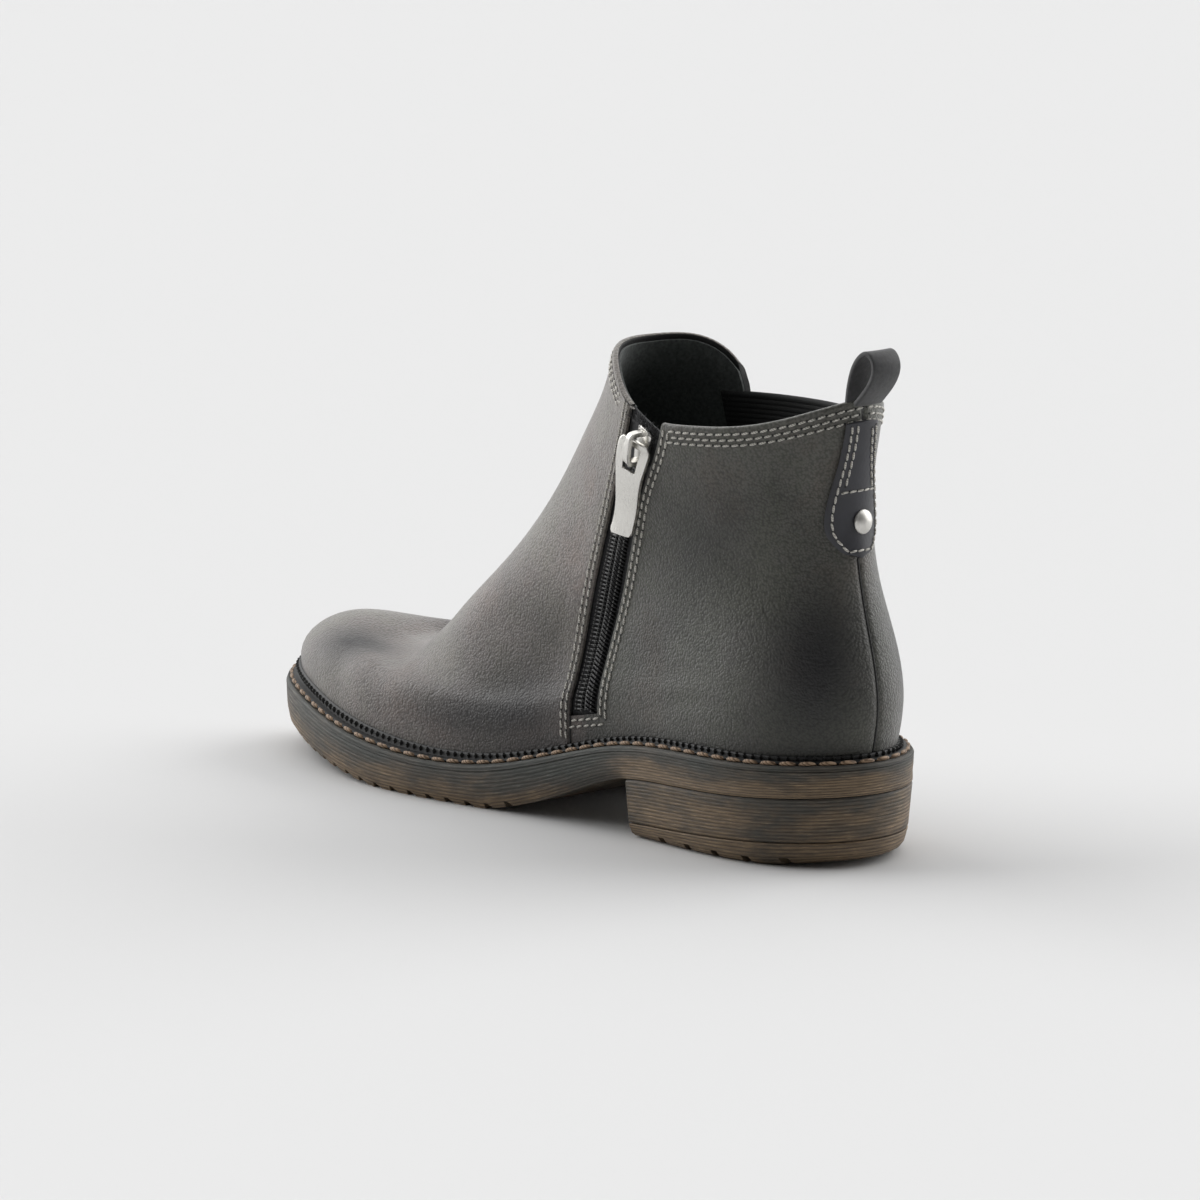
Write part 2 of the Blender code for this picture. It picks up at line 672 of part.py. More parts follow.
# Zip tape behind the slot, and the closed coil on it below the slider
tape_along = np.linspace(-TAPE_OVER, zip_length - TAPE_SHORT, TAPE_ROWS)[:, None]
tape_across = np.linspace(-TAPE_WIDTH / 2, TAPE_WIDTH / 2, TAPE_COLUMNS)[None, :]
tape_depth = UPPER_WALL + BACK_GAP
zip_tape = slab(
    "zip_tape",
    zip_layer(tape_along, tape_across, tape_depth),
    zip_layer(tape_along, tape_across, tape_depth + TAPE_THICK),
    TAPE_BLACK,
)
slider_at = zip_length - SLIDER_DOWN
coil_along = np.linspace(COIL_FOOT, slider_at - SLIDER_LENGTH / 2 - GAP, TAPE_ROWS)[:, None]
coil_across = np.linspace(-COIL_WIDTH / 2, COIL_WIDTH / 2, COIL_COLUMNS)[None, :]
zip_coil = slab(
    "zip_coil",
    zip_layer(coil_along, coil_across, tape_depth - BACK_GAP - COIL_THICK),
    zip_layer(coil_along, coil_across, tape_depth - BACK_GAP),
    COIL_BLACK,
)

# Slider with its bridge, in a frame on the wall: across the zip, out of the wall, along the zip
def unit(vector):
    return vector / np.linalg.norm(vector)


def frame_at(place, out, along):
    """Matrix of a frame in metres with its Y axis out and its Z axis along."""
    along = unit(along)
    across = unit(np.cross(out, along))
    axes = np.column_stack([across, np.cross(along, across), along])
    return Matrix.Translation(Vector(place * MM)) @ Matrix(axes.tolist()).to_4x4()


seat = zip_layer(slider_at, 0.0, 0.0)
seat_out = unit(seat - zip_layer(slider_at, 0.0, 1.0))
seat_along = unit(zip_layer(slider_at + 1.0, 0.0, 0.0) - zip_layer(slider_at - 1.0, 0.0, 0.0))
slider_frame = frame_at(seat, seat_out, seat_along)
low = -(tape_depth - BACK_GAP)
body = [(-SLIDER_WIDTH / 2, SLIDER_LENGTH / 2), (SLIDER_WIDTH / 2, SLIDER_LENGTH / 2)]
body += [(SLIDER_FOOT / 2, -SLIDER_LENGTH / 2), (-SLIDER_FOOT / 2, -SLIDER_LENGTH / 2)]
zip_slider = new_object(
    "zip_slider",
    *prism_points(body, low, SLIDER_TOP),
    NICKEL,
    metallic=1.0,
    roughness=0.3,
    place=slider_frame,
)
bridge = np.array(BRIDGE)
way = np.gradient(bridge, axis=0)
side_way = np.stack([-way[:, 1], way[:, 0]], axis=-1) / np.linalg.norm(way, axis=-1, keepdims=True)
bridge_points = []
for centre, normal in zip(bridge, side_way):
    for across, lift in ((-1, -1), (1, -1), (1, 1), (-1, 1)):
        along, out = centre + normal * lift * BRIDGE_THICK / 2
        bridge_points.append((across * BRIDGE_WIDTH / 2, out, along))
last = len(bridge_points)
bridge_faces = grid_faces(len(bridge), 4, False, True)
bridge_faces += [(0, 1, 2, 3), (last - 1, last - 2, last - 3, last - 4)]
join(zip_slider, "slider_bridge", bridge_points, bridge_faces, slider_frame)

# Pull tab hanging from the bridge, its frame's origin on the hinge line
pivot = seat + PIVOT_OUT * seat_out + PIVOT_ALONG * seat_along
pull_end = zip_layer(slider_at - PULL_LENGTH, 0.0, -PULL_CLEAR)
pull_frame = frame_at(pivot, seat_out, pivot - pull_end)
outline = [(half, -down) for down, half in PULL_OUTLINE]
outline += [(-half, -down) for down, half in PULL_OUTLINE[::-1]]
zip_pull = new_object(
    "zip_pull",
    *prism_points(outline, -PULL_THICK / 2, PULL_THICK / 2),
    NICKEL,
    metallic=1.0,
    roughness=0.3,
    place=pull_frame,
)
window_half, window_top, window_foot = PULL_WINDOW
window = boxes([((-window_half, -PULL_THICK, -window_foot), (window_half, PULL_THICK, -window_top))])
cut(zip_pull, "pull_window", *window, pull_frame)

# Heel tab over the back seam, its rows at levels of the back profile
level_table = np.linspace(0, 1, 400)
level_of_height = back_profile(level_table)[:, 1]


def back_layer(across, height, depth):
    """Layer point beside the back seam; across is negative on the inside."""
    level = np.interp(height, level_of_height, level_table)
    span = (girth_round(180.0) * girth_up(level)).sum(axis=-1)
    theta = math.pi - np.arcsin(np.abs(across) / span)
    inside = upper_layer(theta, level, INSIDE, depth)
    outside = upper_layer(theta, level, OUTSIDE, depth)
    middle = (inside + outside) / 2
    across = across[..., None]
    return np.where(across < 0, inside, np.where(across > 0, outside, middle))


tab_across = np.array([half for _, half in HEEL_TAB])[:, None] * np.linspace(-1, 1, TAB_COLUMNS)[None, :]
tab_height = np.broadcast_to(np.array([height for height, _ in HEEL_TAB])[:, None], tab_across.shape)
heel_tab = slab(
    "heel_tab",
    back_layer(tab_across, tab_height, -(GAP + TAB_THICK)),
    back_layer(tab_across, tab_height, -GAP),
    TAB_NAVY,
    roughness=0.35,
)

# Rivet through the tab
rivet_seat = back_layer(np.array([0.0]), np.array([RIVET_HEIGHT]), -(GAP + TAB_THICK + GAP))[0]
rivet_out = unit(rivet_seat - back_layer(np.array([0.0]), np.array([RIVET_HEIGHT]), 0.0)[0])
rivet_frame = frame_at(rivet_seat, rivet_out, np.array([0.0, 0.0, 1.0]))
rivet_rings = []
for radius, height in RIVET:
    turn = np.linspace(0, 2 * math.pi, RIVET_SIDES, endpoint=False)
    rivet_rings.append(np.stack([radius * np.cos(turn), np.full_like(turn, height), radius * np.sin(turn)], axis=-1))
rivet_left = list(range(RIVET_SIDES // 2 + 1))
rivet_right = [0] + list(range(RIVET_SIDES - 1, RIVET_SIDES // 2 - 1, -1))
tab_rivet = stack(
    "tab_rivet", rivet_rings, rivet_left, rivet_right, NICKEL, metallic=1.0, roughness=0.25, place=rivet_frame
)

# Pull loop, a strip bent over the back of the collar
loop_line = drawn_line(PULL_LOOP)(np.linspace(0, 1, LOOP_ROWS))
loop_way = np.gradient(loop_line, axis=0)
loop_out = np.stack([-loop_way[:, 1], loop_way[:, 0]], axis=-1) / np.linalg.norm(loop_way, axis=-1, keepdims=True)
loop_y = SHAFT_MIDDLE + np.linspace(-0.5, 0.5, LOOP_COLUMNS) * LOOP_WIDTH


def loop_face(lift):
    line = loop_line + lift * loop_out
    grid = np.zeros((LOOP_ROWS, LOOP_COLUMNS, 3))
    grid[..., 0] = line[:, :1] - (loop_y - SHAFT_MIDDLE) ** 2 / (2 * LOOP_BEND)
    grid[..., 1], grid[..., 2] = loop_y, line[:, 1:]
    return grid


pull_loop = slab("pull_loop", loop_face(LOOP_THICK / 2), loop_face(-LOOP_THICK / 2), LOOP_BLACK)

# The middle of the boot's box stands over the origin
bpy.context.view_layer.update()
corners = []
for item in bpy.data.objects:
    if item.type == "MESH" and not item.hide_render:
        corners += [item.matrix_local @ Vector(corner) for corner in item.bound_box]
corners = np.array(corners)
middle = (corners.min(axis=0) + corners.max(axis=0)) / 2
root.location = (-middle[0], -middle[1], -corners[:, 2].min())
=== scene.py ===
"""Looks of the ankle bootie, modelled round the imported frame.

Shapes are worked out in millimetres in the maker's own frame: the toe points along -X, the zip side
(the inside of the foot) faces -Y and the boot stands on Z = 0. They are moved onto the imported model
and turned to metres where a mesh is made. The leather is one surface between four drawn edges, and
all that lies on it or under it is placed by that surface.
"""

import json
import math

import bpy
import numpy as np
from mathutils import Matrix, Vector


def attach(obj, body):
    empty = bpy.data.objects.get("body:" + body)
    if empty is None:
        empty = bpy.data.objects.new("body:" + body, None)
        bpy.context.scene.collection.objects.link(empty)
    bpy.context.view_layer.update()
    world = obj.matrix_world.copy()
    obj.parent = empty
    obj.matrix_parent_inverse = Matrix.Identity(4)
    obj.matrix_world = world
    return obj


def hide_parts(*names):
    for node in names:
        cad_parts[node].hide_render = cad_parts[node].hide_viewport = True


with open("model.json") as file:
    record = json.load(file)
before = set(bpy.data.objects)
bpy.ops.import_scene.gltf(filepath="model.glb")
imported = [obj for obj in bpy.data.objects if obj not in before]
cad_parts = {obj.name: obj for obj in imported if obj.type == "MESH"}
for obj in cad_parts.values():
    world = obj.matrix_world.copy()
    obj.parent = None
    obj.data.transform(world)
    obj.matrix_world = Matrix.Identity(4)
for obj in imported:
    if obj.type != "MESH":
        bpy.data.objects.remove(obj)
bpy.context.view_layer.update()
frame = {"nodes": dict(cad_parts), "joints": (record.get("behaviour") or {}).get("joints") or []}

MM = 0.001

# Driving sizes of the boot
SOLE_LENGTH = 273.0
HEEL_BACK = 134.5
WELT_LEDGE = 5.4
WALL = 2.0
GAP = 0.3
BACK_GAP = 0.5
HEEL_LENGTH = 82.0
LIFT_FRONT, LIFT_BACK = 4.5, 8.6
FEATHER_TOE = HEEL_BACK - SOLE_LENGTH + WELT_LEDGE
FEATHER_BACK = HEEL_BACK - WELT_LEDGE
BREAST = HEEL_BACK - HEEL_LENGTH
INSIDE, OUTSIDE = -1, 1

# Heights of the sole: x along the foot, top of the sole layer, bottom of the sole layer
SOLE_HEIGHTS = (
    (-138.0, 23.4, 7.4),
    (-110.0, 21.2, 5.2),
    (-80.0, 16.9, 2.2),
    (-45.0, 13.0, -0.8),
    (-10.0, 14.1, -0.2),
    (20.0, 21.2, 8.0),
    (45.0, 27.8, 17.2),
    (70.0, 30.8, 20.1),
    (105.0, 31.6, 21.4),
    (136.0, 32.9, 23.2),
)

# Front profile in the middle plane, from above the feather line at the toe to the top of the flap: x, z
FRONT_PROFILE = (
    (-133.8, 31.6),
    (-129.4, 37.8),
    (-119.5, 42.2),
    (-106.0, 42.4),
    (-92.0, 39.0),
    (-80.0, 38.8),
    (-67.0, 45.0),
    (-51.0, 58.0),
    (-33.5, 73.5),
    (-13.5, 96.5),
    (3.0, 120.5),
    (14.5, 139.0),
    (18.8, 150.0),
)

# Back profile, from above the feather line to the collar: x, z
BACK_PROFILE = (
    (131.8, 48.5),
    (130.6, 60.0),
    (126.6, 75.0),
    (122.6, 93.0),
    (121.4, 106.0),
    (121.8, 118.0),
    (123.6, 132.0),
    (125.0, 143.5),
)

# Collar edge on each side, from the front flap to the back: x, z
COLLAR_INSIDE = (
    (18.8, 150.0),
    (26.0, 148.3),
    (38.0, 142.0),
    (50.0, 136.0),
    (62.0, 132.8),
    (80.0, 132.8),
    (100.0, 134.8),
    (114.0, 138.8),
    (125.0, 143.5),
)
COLLAR_OUTSIDE = (
    (18.8, 150.0),
    (26.0, 149.8),
    (32.0, 147.4),
    (36.5, 143.6),
    (40.5, 138.6),
    (45.0, 135.2),
    (53.0, 133.6),
    (72.0, 132.9),
    (97.0, 134.2),
    (113.0, 138.6),
    (125.0, 143.5),
)

# Half-width of the wall over the sine of its angle round the boot, front (0) to back (180 degrees),
# a row for each level of the wall from the feather line (0) to the collar (1)
GIRTH_ANGLES = (0.0, 40.0, 60.0, 75.0, 90.0, 110.0, 145.0, 180.0)
GIRTH_LEVELS = (0.0, 0.12, 0.30, 0.50, 0.75, 1.0)
GIRTHS = (
    (48.0, 47.6, 48.5, 45.5, 40.0, 34.5, 46.0, 49.0),
    (47.0, 49.4, 48.4, 44.0, 39.0, 34.8, 46.4, 47.5),
    (42.0, 46.4, 43.2, 38.2, 34.8, 33.0, 43.0, 41.0),
    (40.0, 43.5, 37.0, 33.0, 30.0, 31.0, 35.0, 31.5),
    (31.0, 30.5, 30.5, 30.0, 30.0, 30.5, 30.0, 26.5),
    (31.0, 32.0, 33.0, 33.0, 33.0, 32.0, 29.0, 25.5),
)

# Swing of the foot's middle line towards the outside, at the sole: x, y
MIDDLE_LINE = (
    (-137.0, -3.0),
    (-105.0, -1.6),
    (-75.0, 0.2),
    (-45.0, 2.5),
    (-10.0, 5.0),
    (25.0, 5.0),
    (60.0, 3.0),
    (100.0, 1.2),
    (136.0, 0.8),
)
# Middle of the shaft, the levels between which the wall leans over to it, and how fast the pull of the
# front and back profiles fades round the boot
SHAFT_MIDDLE = 0.5
LEAN_FROM, LEAN_TO = 0.3, 0.9
FRONT_FADE, BACK_FADE = 1.8, 1.4
# Fall of the toe and vamp from the ridge to both sides: level, drop
CROWN = (
    (0.0, 0.0),
    (0.05, 0.5),
    (0.12, 4.2),
    (0.2, 4.4),
    (0.28, 3.2),
    (0.4, 1.0),
    (0.55, 0.0),
    (1.0, 0.0),
)
CROWN_ANGLE = 22.0

# Edge of the sole layer from top to bottom: share of its height, inset, inset round the toe
SOLE_EDGE = (
    (0.0, 0.6, 0.6),
    (0.1, 0.0, 0.0),
    (0.55, 0.2, 0.3),
    (0.8, 0.8, 1.1),
    (1.0, 2.2, 3.2),
)
TOE_ROUND_FROM, TOE_ROUND_LENGTH = -50.0, 60.0
# Grooves across the tread: places, width, depth, length of the flat root, slant of the back wall; and
# how far their cutters reach to the sides and down
TREAD_FRONT, TREAD_BACK, TREAD_PITCH = -112.0, 4.0, 8.0
TREAD_GROOVE, TREAD_DEPTH, TREAD_ROOT, TREAD_SLANT = 2.6, 1.6, 1.4, 1.6
FAR_SIDE, FAR_DOWN = 80.0, 6.0

# Heel block and lift: slope of the breast, bevel at the back, the lift's grooves, and the sides where
# the two meet flush, by share of the height and inset; points round the back and across the breast
BREAST_SLOPE = 0.15
BEVEL_FROM, BEVEL_LIFT = 104.0, 2.4
LIFT_GROOVES = (66.0, 78.0, 90.0, 102.0, 114.0)
LIFT_GROOVE_DEPTH, LIFT_GROOVE_SLANT = TREAD_DEPTH + 0.7, 1.2
HEEL_FLUSH = ((0.0, 2.0), (0.05, 1.6), (0.95, 0.45), (1.0, 0.75))
LIFT_FLUSH = ((0.0, 5.6), (0.12, 4.0), (0.35, 2.8), (0.94, 1.75), (1.0, 2.0))
HEEL_POINTS, BREAST_POINTS = 150, 24

# Zip on the inside: places in side view, widths, depths
ZIP_LINE = ((29.1, 34.8), (31.9, 57.0), (39.6, 83.0), (48.7, 108.0), (57.5, 131.6))
SLOT_FOOT, SLOT_TOP = 11.4, 14.6
SLOT_FLARE, SLOT_FLARE_LENGTH, SLOT_FOOT_RISE = 3.0, 26.0, 1.7
TAPE_WIDTH, TAPE_THICK, TAPE_OVER, TAPE_SHORT = 20.0, 0.6, 1.5, -0.6
TAPE_DEPTH, COIL_DEPTH = 1.35, 0.75
COIL_FOOT, COIL_PITCH = 1.0, 1.35
SLIDER_DOWN, SLIDER_LENGTH = 8.0, 13.0
PIVOT_ALONG, PIVOT_OUT = 0.3, 2.6
HINGE_PLACE = (56.136, -33.395, 125.746)
PULL_LENGTH, PULL_THICK, PULL_CLEAR = 32.0, 1.5, 1.6

# Gore: cut-out in the leather, and the panel behind it by height, front edge, back edge
GORE_OUTLINE = (
    (35.6, 175.0),
    (37.2, 146.0),
    (39.4, 140.0),
    (40.9, 134.0),
    (41.4, 129.0),
    (42.5, 112.0),
    (46.5, 92.0),
    (51.5, 78.0),
    (57.0, 71.5),
    (62.0, 69.0),
    (67.0, 71.0),
    (72.0, 78.0),
    (78.0, 96.0),
    (83.0, 115.0),
    (87.0, 131.0),
    (87.0, 175.0),
)
GORE_PANEL = (
    (62.0, 53.0, 71.0),
    (75.0, 45.5, 79.0),
    (95.0, 39.0, 86.0),
    (115.0, 35.0, 91.0),
    (132.4, 33.0, 95.0),
)
GORE_THICK, RIB_PITCH, RIB_HEIGHT = 1.1, 1.6, 0.25

# Heel tab on the back seam: height, half-width
HEEL_TAB = (
    (141.2, 5.6),
    (132.0, 5.9),
    (122.0, 6.9),
    (113.0, 8.3),
    (106.0, 8.9),
    (101.0, 8.0),
    (98.0, 6.4),
    (96.0, 4.6),
    (94.8, 2.2),
)
TAB_THICK = 1.4
RIVET_HEIGHT, RIVET_ASIDE = 105.4, 0.9

# Pull loop: middle of the strip in the back plane, from inside the collar over to the outside
PULL_LOOP = (
    (122.4, 128.4),
    (122.8, 136.4),
    (123.2, 144.4),
    (124.8, 151.4),
    (128.2, 157.0),
    (132.2, 158.8),
    (134.9, 155.9),
    (133.8, 150.6),
    (130.0, 145.9),
    (126.6, 142.6),
)
LOOP_WIDTH, LOOP_THICK, LOOP_BEND = 10.8, 1.6, 24.0


# The boot's surface

def spline(knots, values):
    """Natural cubic spline through the values, as a function of the knots' parameter."""
    t = np.asarray(knots, float)
    v = np.asarray(values, float)
    h = np.diff(t)
    count = len(t)
    matrix = np.zeros((count, count))
    right = np.zeros_like(v)
    matrix[0, 0] = matrix[-1, -1] = 1.0
    for i in range(1, count - 1):
        matrix[i, i - 1 : i + 2] = h[i - 1], 2 * (h[i - 1] + h[i]), h[i]
        right[i] = 6 * ((v[i + 1] - v[i]) / h[i] - (v[i] - v[i - 1]) / h[i - 1])
    bend = np.linalg.solve(matrix, right)

    def at(q):
        q = np.clip(np.asarray(q, float), t[0], t[-1])
        i = np.clip(np.searchsorted(t, q) - 1, 0, count - 2)
        shape = q.shape + (1,) * (v.ndim - 1)
        step = h[i].reshape(shape)
        a = (t[i + 1] - q).reshape(shape) / step
        b = 1 - a
        curve = ((a**3 - a) * bend[i] + (b**3 - b) * bend[i + 1]) * step**2 / 6
        return a * v[i] + b * v[i + 1] + curve

    return at


def distances(points):
    """Distance along a line from its first point to each of its points."""
    return np.r_[0, np.cumsum(np.linalg.norm(np.diff(points, axis=0), axis=1))]


def places_at(wanted, length, points):
    """Places at wanted distances along a line whose points lie at the distances in length."""
    return np.stack([np.interp(wanted, length, axis) for axis in np.transpose(points)], axis=-1)


def drawn_line(points):
    """Smooth line through points, as a function of the share of its length from 0 to 1."""
    length = distances(points)
    return spline(length / length[-1], points)


def column(table, index):
    return spline([row[0] for row in table], [row[index] for row in table])


sole_top = column(SOLE_HEIGHTS, 1)
sole_spring = column(SOLE_HEIGHTS, 2)
crown = column(CROWN, 1)
front_profile = drawn_line(((FEATHER_TOE, sole_top(FEATHER_TOE) + GAP), *FRONT_PROFILE))
back_profile = drawn_line(((FEATHER_BACK, sole_top(FEATHER_BACK) + GAP), *BACK_PROFILE))
collar_height = {INSIDE: column(COLLAR_INSIDE, 1), OUTSIDE: column(COLLAR_OUTSIDE, 1)}
middle_line = column(MIDDLE_LINE, 1)
girth_round = spline(GIRTH_ANGLES, np.transpose(GIRTHS))
girth_up = spline(GIRTH_LEVELS, np.eye(len(GIRTH_LEVELS)))
zip_line = drawn_line(ZIP_LINE)
zip_length = np.linalg.norm(np.diff(zip_line(np.linspace(0, 1, 50)), axis=0), axis=1).sum()
slider_at = zip_length - SLIDER_DOWN
chain = np.arange(COIL_FOOT + 0.4, slider_at - SLIDER_LENGTH / 2 - 0.6, COIL_PITCH)


def smooth(q):
    q = np.clip(q, 0, 1)
    return q * q * (3 - 2 * q)


def unit(vector):
    return vector / np.linalg.norm(vector, axis=-1, keepdims=True)


def sole_bottom(x):
    return np.maximum(sole_spring(x), 0.0)


def upper_surface(theta, level, side):
    """Outer face of the upper: theta runs from the front (0) to the back (pi) on one side."""
    theta, level = np.broadcast_arrays(np.asarray(theta, float), np.asarray(level, float))
    share = (1 - np.cos(theta)) / 2
    v, w = level[..., None], share[..., None]
    foot_x = FEATHER_TOE + share * (FEATHER_BACK - FEATHER_TOE)
    foot = np.stack([foot_x, sole_top(foot_x) + GAP], axis=-1)
    front_foot, front_top = front_profile(0.0), front_profile(1.0)
    back_foot, back_top = back_profile(0.0), back_profile(1.0)
    top_x = front_top[0] + share * (back_top[0] - front_top[0])
    top = np.stack([top_x, collar_height[side](top_x)], axis=-1)
    front_pull = front_profile(level) - (1 - v) * front_foot - v * front_top
    back_pull = back_profile(level) - (1 - v) * back_foot - v * back_top
    flat = (1 - v) * foot + v * top + (1 - w) ** FRONT_FADE * front_pull + w**BACK_FADE * back_pull
    fall = 1 - np.exp(-((np.degrees(theta) / CROWN_ANGLE) ** 2))
    flat[..., 1] -= crown(level) * fall * (1 - share) ** 4
    lean = smooth((level - LEAN_FROM) / (LEAN_TO - LEAN_FROM))
    middle = (1 - lean) * middle_line(flat[..., 0]) + lean * SHAFT_MIDDLE
    half = (girth_round(np.degrees(theta)) * girth_up(level)).sum(axis=-1) * np.sin(theta)
    return np.stack([flat[..., 0], middle + side * half, flat[..., 1]], axis=-1)


def upper_normal(theta, level, side):
    """Unit normal out of the upper's outer face."""
    step = 1e-3
    theta = np.clip(theta, 2 * step, math.pi - 2 * step)
    level = np.clip(level, step, 1 - step)
    round_way = upper_surface(theta + step, level, side) - upper_surface(theta - step, level, side)
    up_way = upper_surface(theta, level + step, side) - upper_surface(theta, level - step, side)
    return unit(-side * np.cross(round_way, up_way))


def upper_layer(theta, level, side, depth):
    """Point at a depth under the upper's outer face (negative: above it)."""
    depth = np.asarray(depth, float)[..., None]
    return upper_surface(theta, level, side) - depth * upper_normal(theta, level, side)


def find_on_upper(x, z, side):
    """Angle and level of one side's wall at a place in side view."""
    x, z = np.broadcast_arrays(np.asarray(x, float), np.asarray(z, float))
    theta = np.full(x.shape, math.pi / 2)
    level = np.full(x.shape, 0.6)
    step = 1e-4
    axes = [0, 2]
    for _ in range(40):
        here = upper_surface(theta, level, side)[..., axes]
        miss = np.stack([x, z], axis=-1) - here
        by_theta = (upper_surface(theta + step, level, side)[..., axes] - here) / step
        by_level = (upper_surface(theta, level + step, side)[..., axes] - here) / step
        area = by_theta[..., 0] * by_level[..., 1] - by_theta[..., 1] * by_level[..., 0]
        d_theta = (miss[..., 0] * by_level[..., 1] - miss[..., 1] * by_level[..., 0]) / area
        d_level = (by_theta[..., 0] * miss[..., 1] - by_theta[..., 1] * miss[..., 0]) / area
        theta = np.clip(theta + np.clip(d_theta, -0.2, 0.2), 0.02, math.pi - 0.02)
        level = np.clip(level + np.clip(d_level, -0.1, 0.1), 0.0, 1 - 2 * step)
    return theta, level


def side_layer(x, z, side, depth):
    """Layer point of one side's wall at a place in side view."""
    theta, level = find_on_upper(x, z, side)
    return upper_layer(theta, level, side, depth)


def round_angle(u):
    """Angle from the front for a share u of the way round: front, inside, back, outside, front."""
    return math.pi * (1 - np.abs(1 - 2 * u))


def round_wall(u, level, depth):
    """Wall points at shares of the way round the boot."""
    theta = round_angle(u)
    inside = upper_layer(theta, level, INSIDE, depth)
    outside = upper_layer(theta, level, OUTSIDE, depth)
    blend = np.where(u <= 0.5, 1.0, 0.0)
    blend = np.where((np.abs(u - 0.5) < 1e-6) | (u < 1e-6) | (u > 1 - 1e-6), 0.5, blend)[..., None]
    return blend * inside + (1 - blend) * outside


def zip_place(along, across):
    """Place in side view, along the zip from its foot and across it towards the back."""
    along, across = np.broadcast_arrays(np.asarray(along, float), np.asarray(across, float))
    share = np.clip(along / zip_length, 0, 1)
    way = unit(zip_line(share + 0.01) - zip_line(share - 0.01))
    over = (along - share * zip_length)[..., None]
    back = np.stack([way[..., 1], -way[..., 0]], axis=-1)
    return zip_line(share) + over * way + across[..., None] * back


def zip_layer(along, across, depth):
    place = zip_place(along, across)
    return side_layer(place[..., 0], place[..., 1], INSIDE, depth)


def slot_half(along):
    """Half the width of the zip's slot."""
    return (SLOT_FOOT + (SLOT_TOP - SLOT_FOOT) * np.clip(along / zip_length, 0, 1)) / 2


def slot_back(along):
    """Half the slot's width on its back side, which flares towards the collar."""
    flare = smooth((along - zip_length + SLOT_FLARE_LENGTH) / SLOT_FLARE_LENGTH)
    return slot_half(along) + SLOT_FLARE * flare


level_table = np.linspace(0, 1, 400)
level_of_height = back_profile(level_table)[:, 1]


def back_layer(across, height, depth):
    """Layer point beside the back seam; across is negative on the inside."""
    level = np.interp(height, level_of_height, level_table)
    span = (girth_round(180.0) * girth_up(level)).sum(axis=-1)
    theta = math.pi - np.arcsin(np.abs(across) / span)
    inside = upper_layer(theta, level, INSIDE, depth)
    outside = upper_layer(theta, level, OUTSIDE, depth)
    across = across[..., None]
    return np.where(across < 0, inside, np.where(across > 0, outside, (inside + outside) / 2))


def spread(ring, distance):
    """The closed ring moved outwards in plan by a distance."""
    way = np.roll(ring, -1, axis=0) - np.roll(ring, 1, axis=0)
    normal = unit(np.stack([-way[:, 1], way[:, 0], np.zeros(len(ring))], axis=-1))
    return ring - normal * np.reshape(distance, (-1, 1))


def at_height(ring, height):
    ring = ring.copy()
    ring[:, 2] = height
    return ring


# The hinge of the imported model, and the shift from the maker's frame to it

hinge = next(joint for joint in frame["joints"] if joint["name"] == "pull_swing")
pivot = np.array(HINGE_PLACE)
SHIFT = np.array(hinge["pos_m"]) / MM - pivot

# The slider's seat: the way out of the zip and along it, and its middle on the leather's face
seat_out = unit(zip_layer(slider_at, 0.0, 0.0) - zip_layer(slider_at, 0.0, 1.0))
seat_along = unit(zip_layer(slider_at + 1, 0.0, 0.0) - zip_layer(slider_at - 1, 0.0, 0.0))
seat = pivot - PIVOT_OUT * seat_out - PIVOT_ALONG * seat_along


# Mesh making

def srgb(hex_colour):
    """Linear colour of an sRGB hex value."""
    channels = [int(hex_colour[i : i + 2], 16) / 255 for i in (1, 3, 5)]
    linear = [c / 12.92 if c <= 0.04045 else ((c + 0.055) / 1.055) ** 2.4 for c in channels]
    return (*linear, 1.0)


def select_only(piece):
    bpy.ops.object.select_all(action="DESELECT")
    piece.select_set(True)
    bpy.context.view_layer.objects.active = piece


def read_points(piece):
    points = np.empty(3 * len(piece.data.vertices))
    piece.data.vertices.foreach_get("co", points)
    return points.reshape(-1, 3)


def write_points(piece, points):
    """Sets a piece's points, given in millimetres in the maker's frame."""
    world = (np.asarray(points) + SHIFT) * MM
    piece.data.vertices.foreach_set("co", world.ravel())
    piece.data.update()


def maker_points(piece):
    """A piece's points in millimetres in the maker's frame."""
    return read_points(piece) / MM - SHIFT


def edit_all(piece, operator, **settings):
    """Runs an operator of edit mode on the whole of a piece."""
    select_only(piece)
    bpy.ops.object.mode_set(mode="EDIT")
    bpy.ops.mesh.select_all(action="SELECT")
    operator(**settings)
    bpy.ops.object.mode_set(mode="OBJECT")


def merge_points(piece, distance=0.02):
    edit_all(piece, bpy.ops.mesh.remove_doubles, threshold=distance * MM)


def face_outwards(piece):
    edit_all(piece, bpy.ops.mesh.normals_make_consistent, inside=False)


def modify(piece, kind, **settings):
    """A modifier added with its settings and applied."""
    select_only(piece)
    modifier = piece.modifiers.new(kind.title(), kind)
    for name, value in settings.items():
        setattr(modifier, name, value)
    bpy.ops.object.modifier_apply(modifier=modifier.name)


def thicken(piece, thickness, offset=-1.0, edge_slot=0, rim_slot=0):
    """A sheet given its thickness; edge_slot and rim_slot are the material slots of its back and rim."""
    modify(
        piece,
        "SOLIDIFY",
        thickness=thickness * MM,
        offset=offset,
        use_even_offset=True,
        material_offset=edge_slot,
        material_offset_rim=rim_slot,
    )


def round_edges(piece, width, segments=2, angle=50.0):
    modify(
        piece,
        "BEVEL",
        width=width * MM,
        segments=segments,
        limit_method="ANGLE",
        angle_limit=math.radians(angle),
        harden_normals=False,
    )


def soften(piece, angle=40.0):
    select_only(piece)
    bpy.ops.object.shade_smooth_by_angle(angle=math.radians(angle))


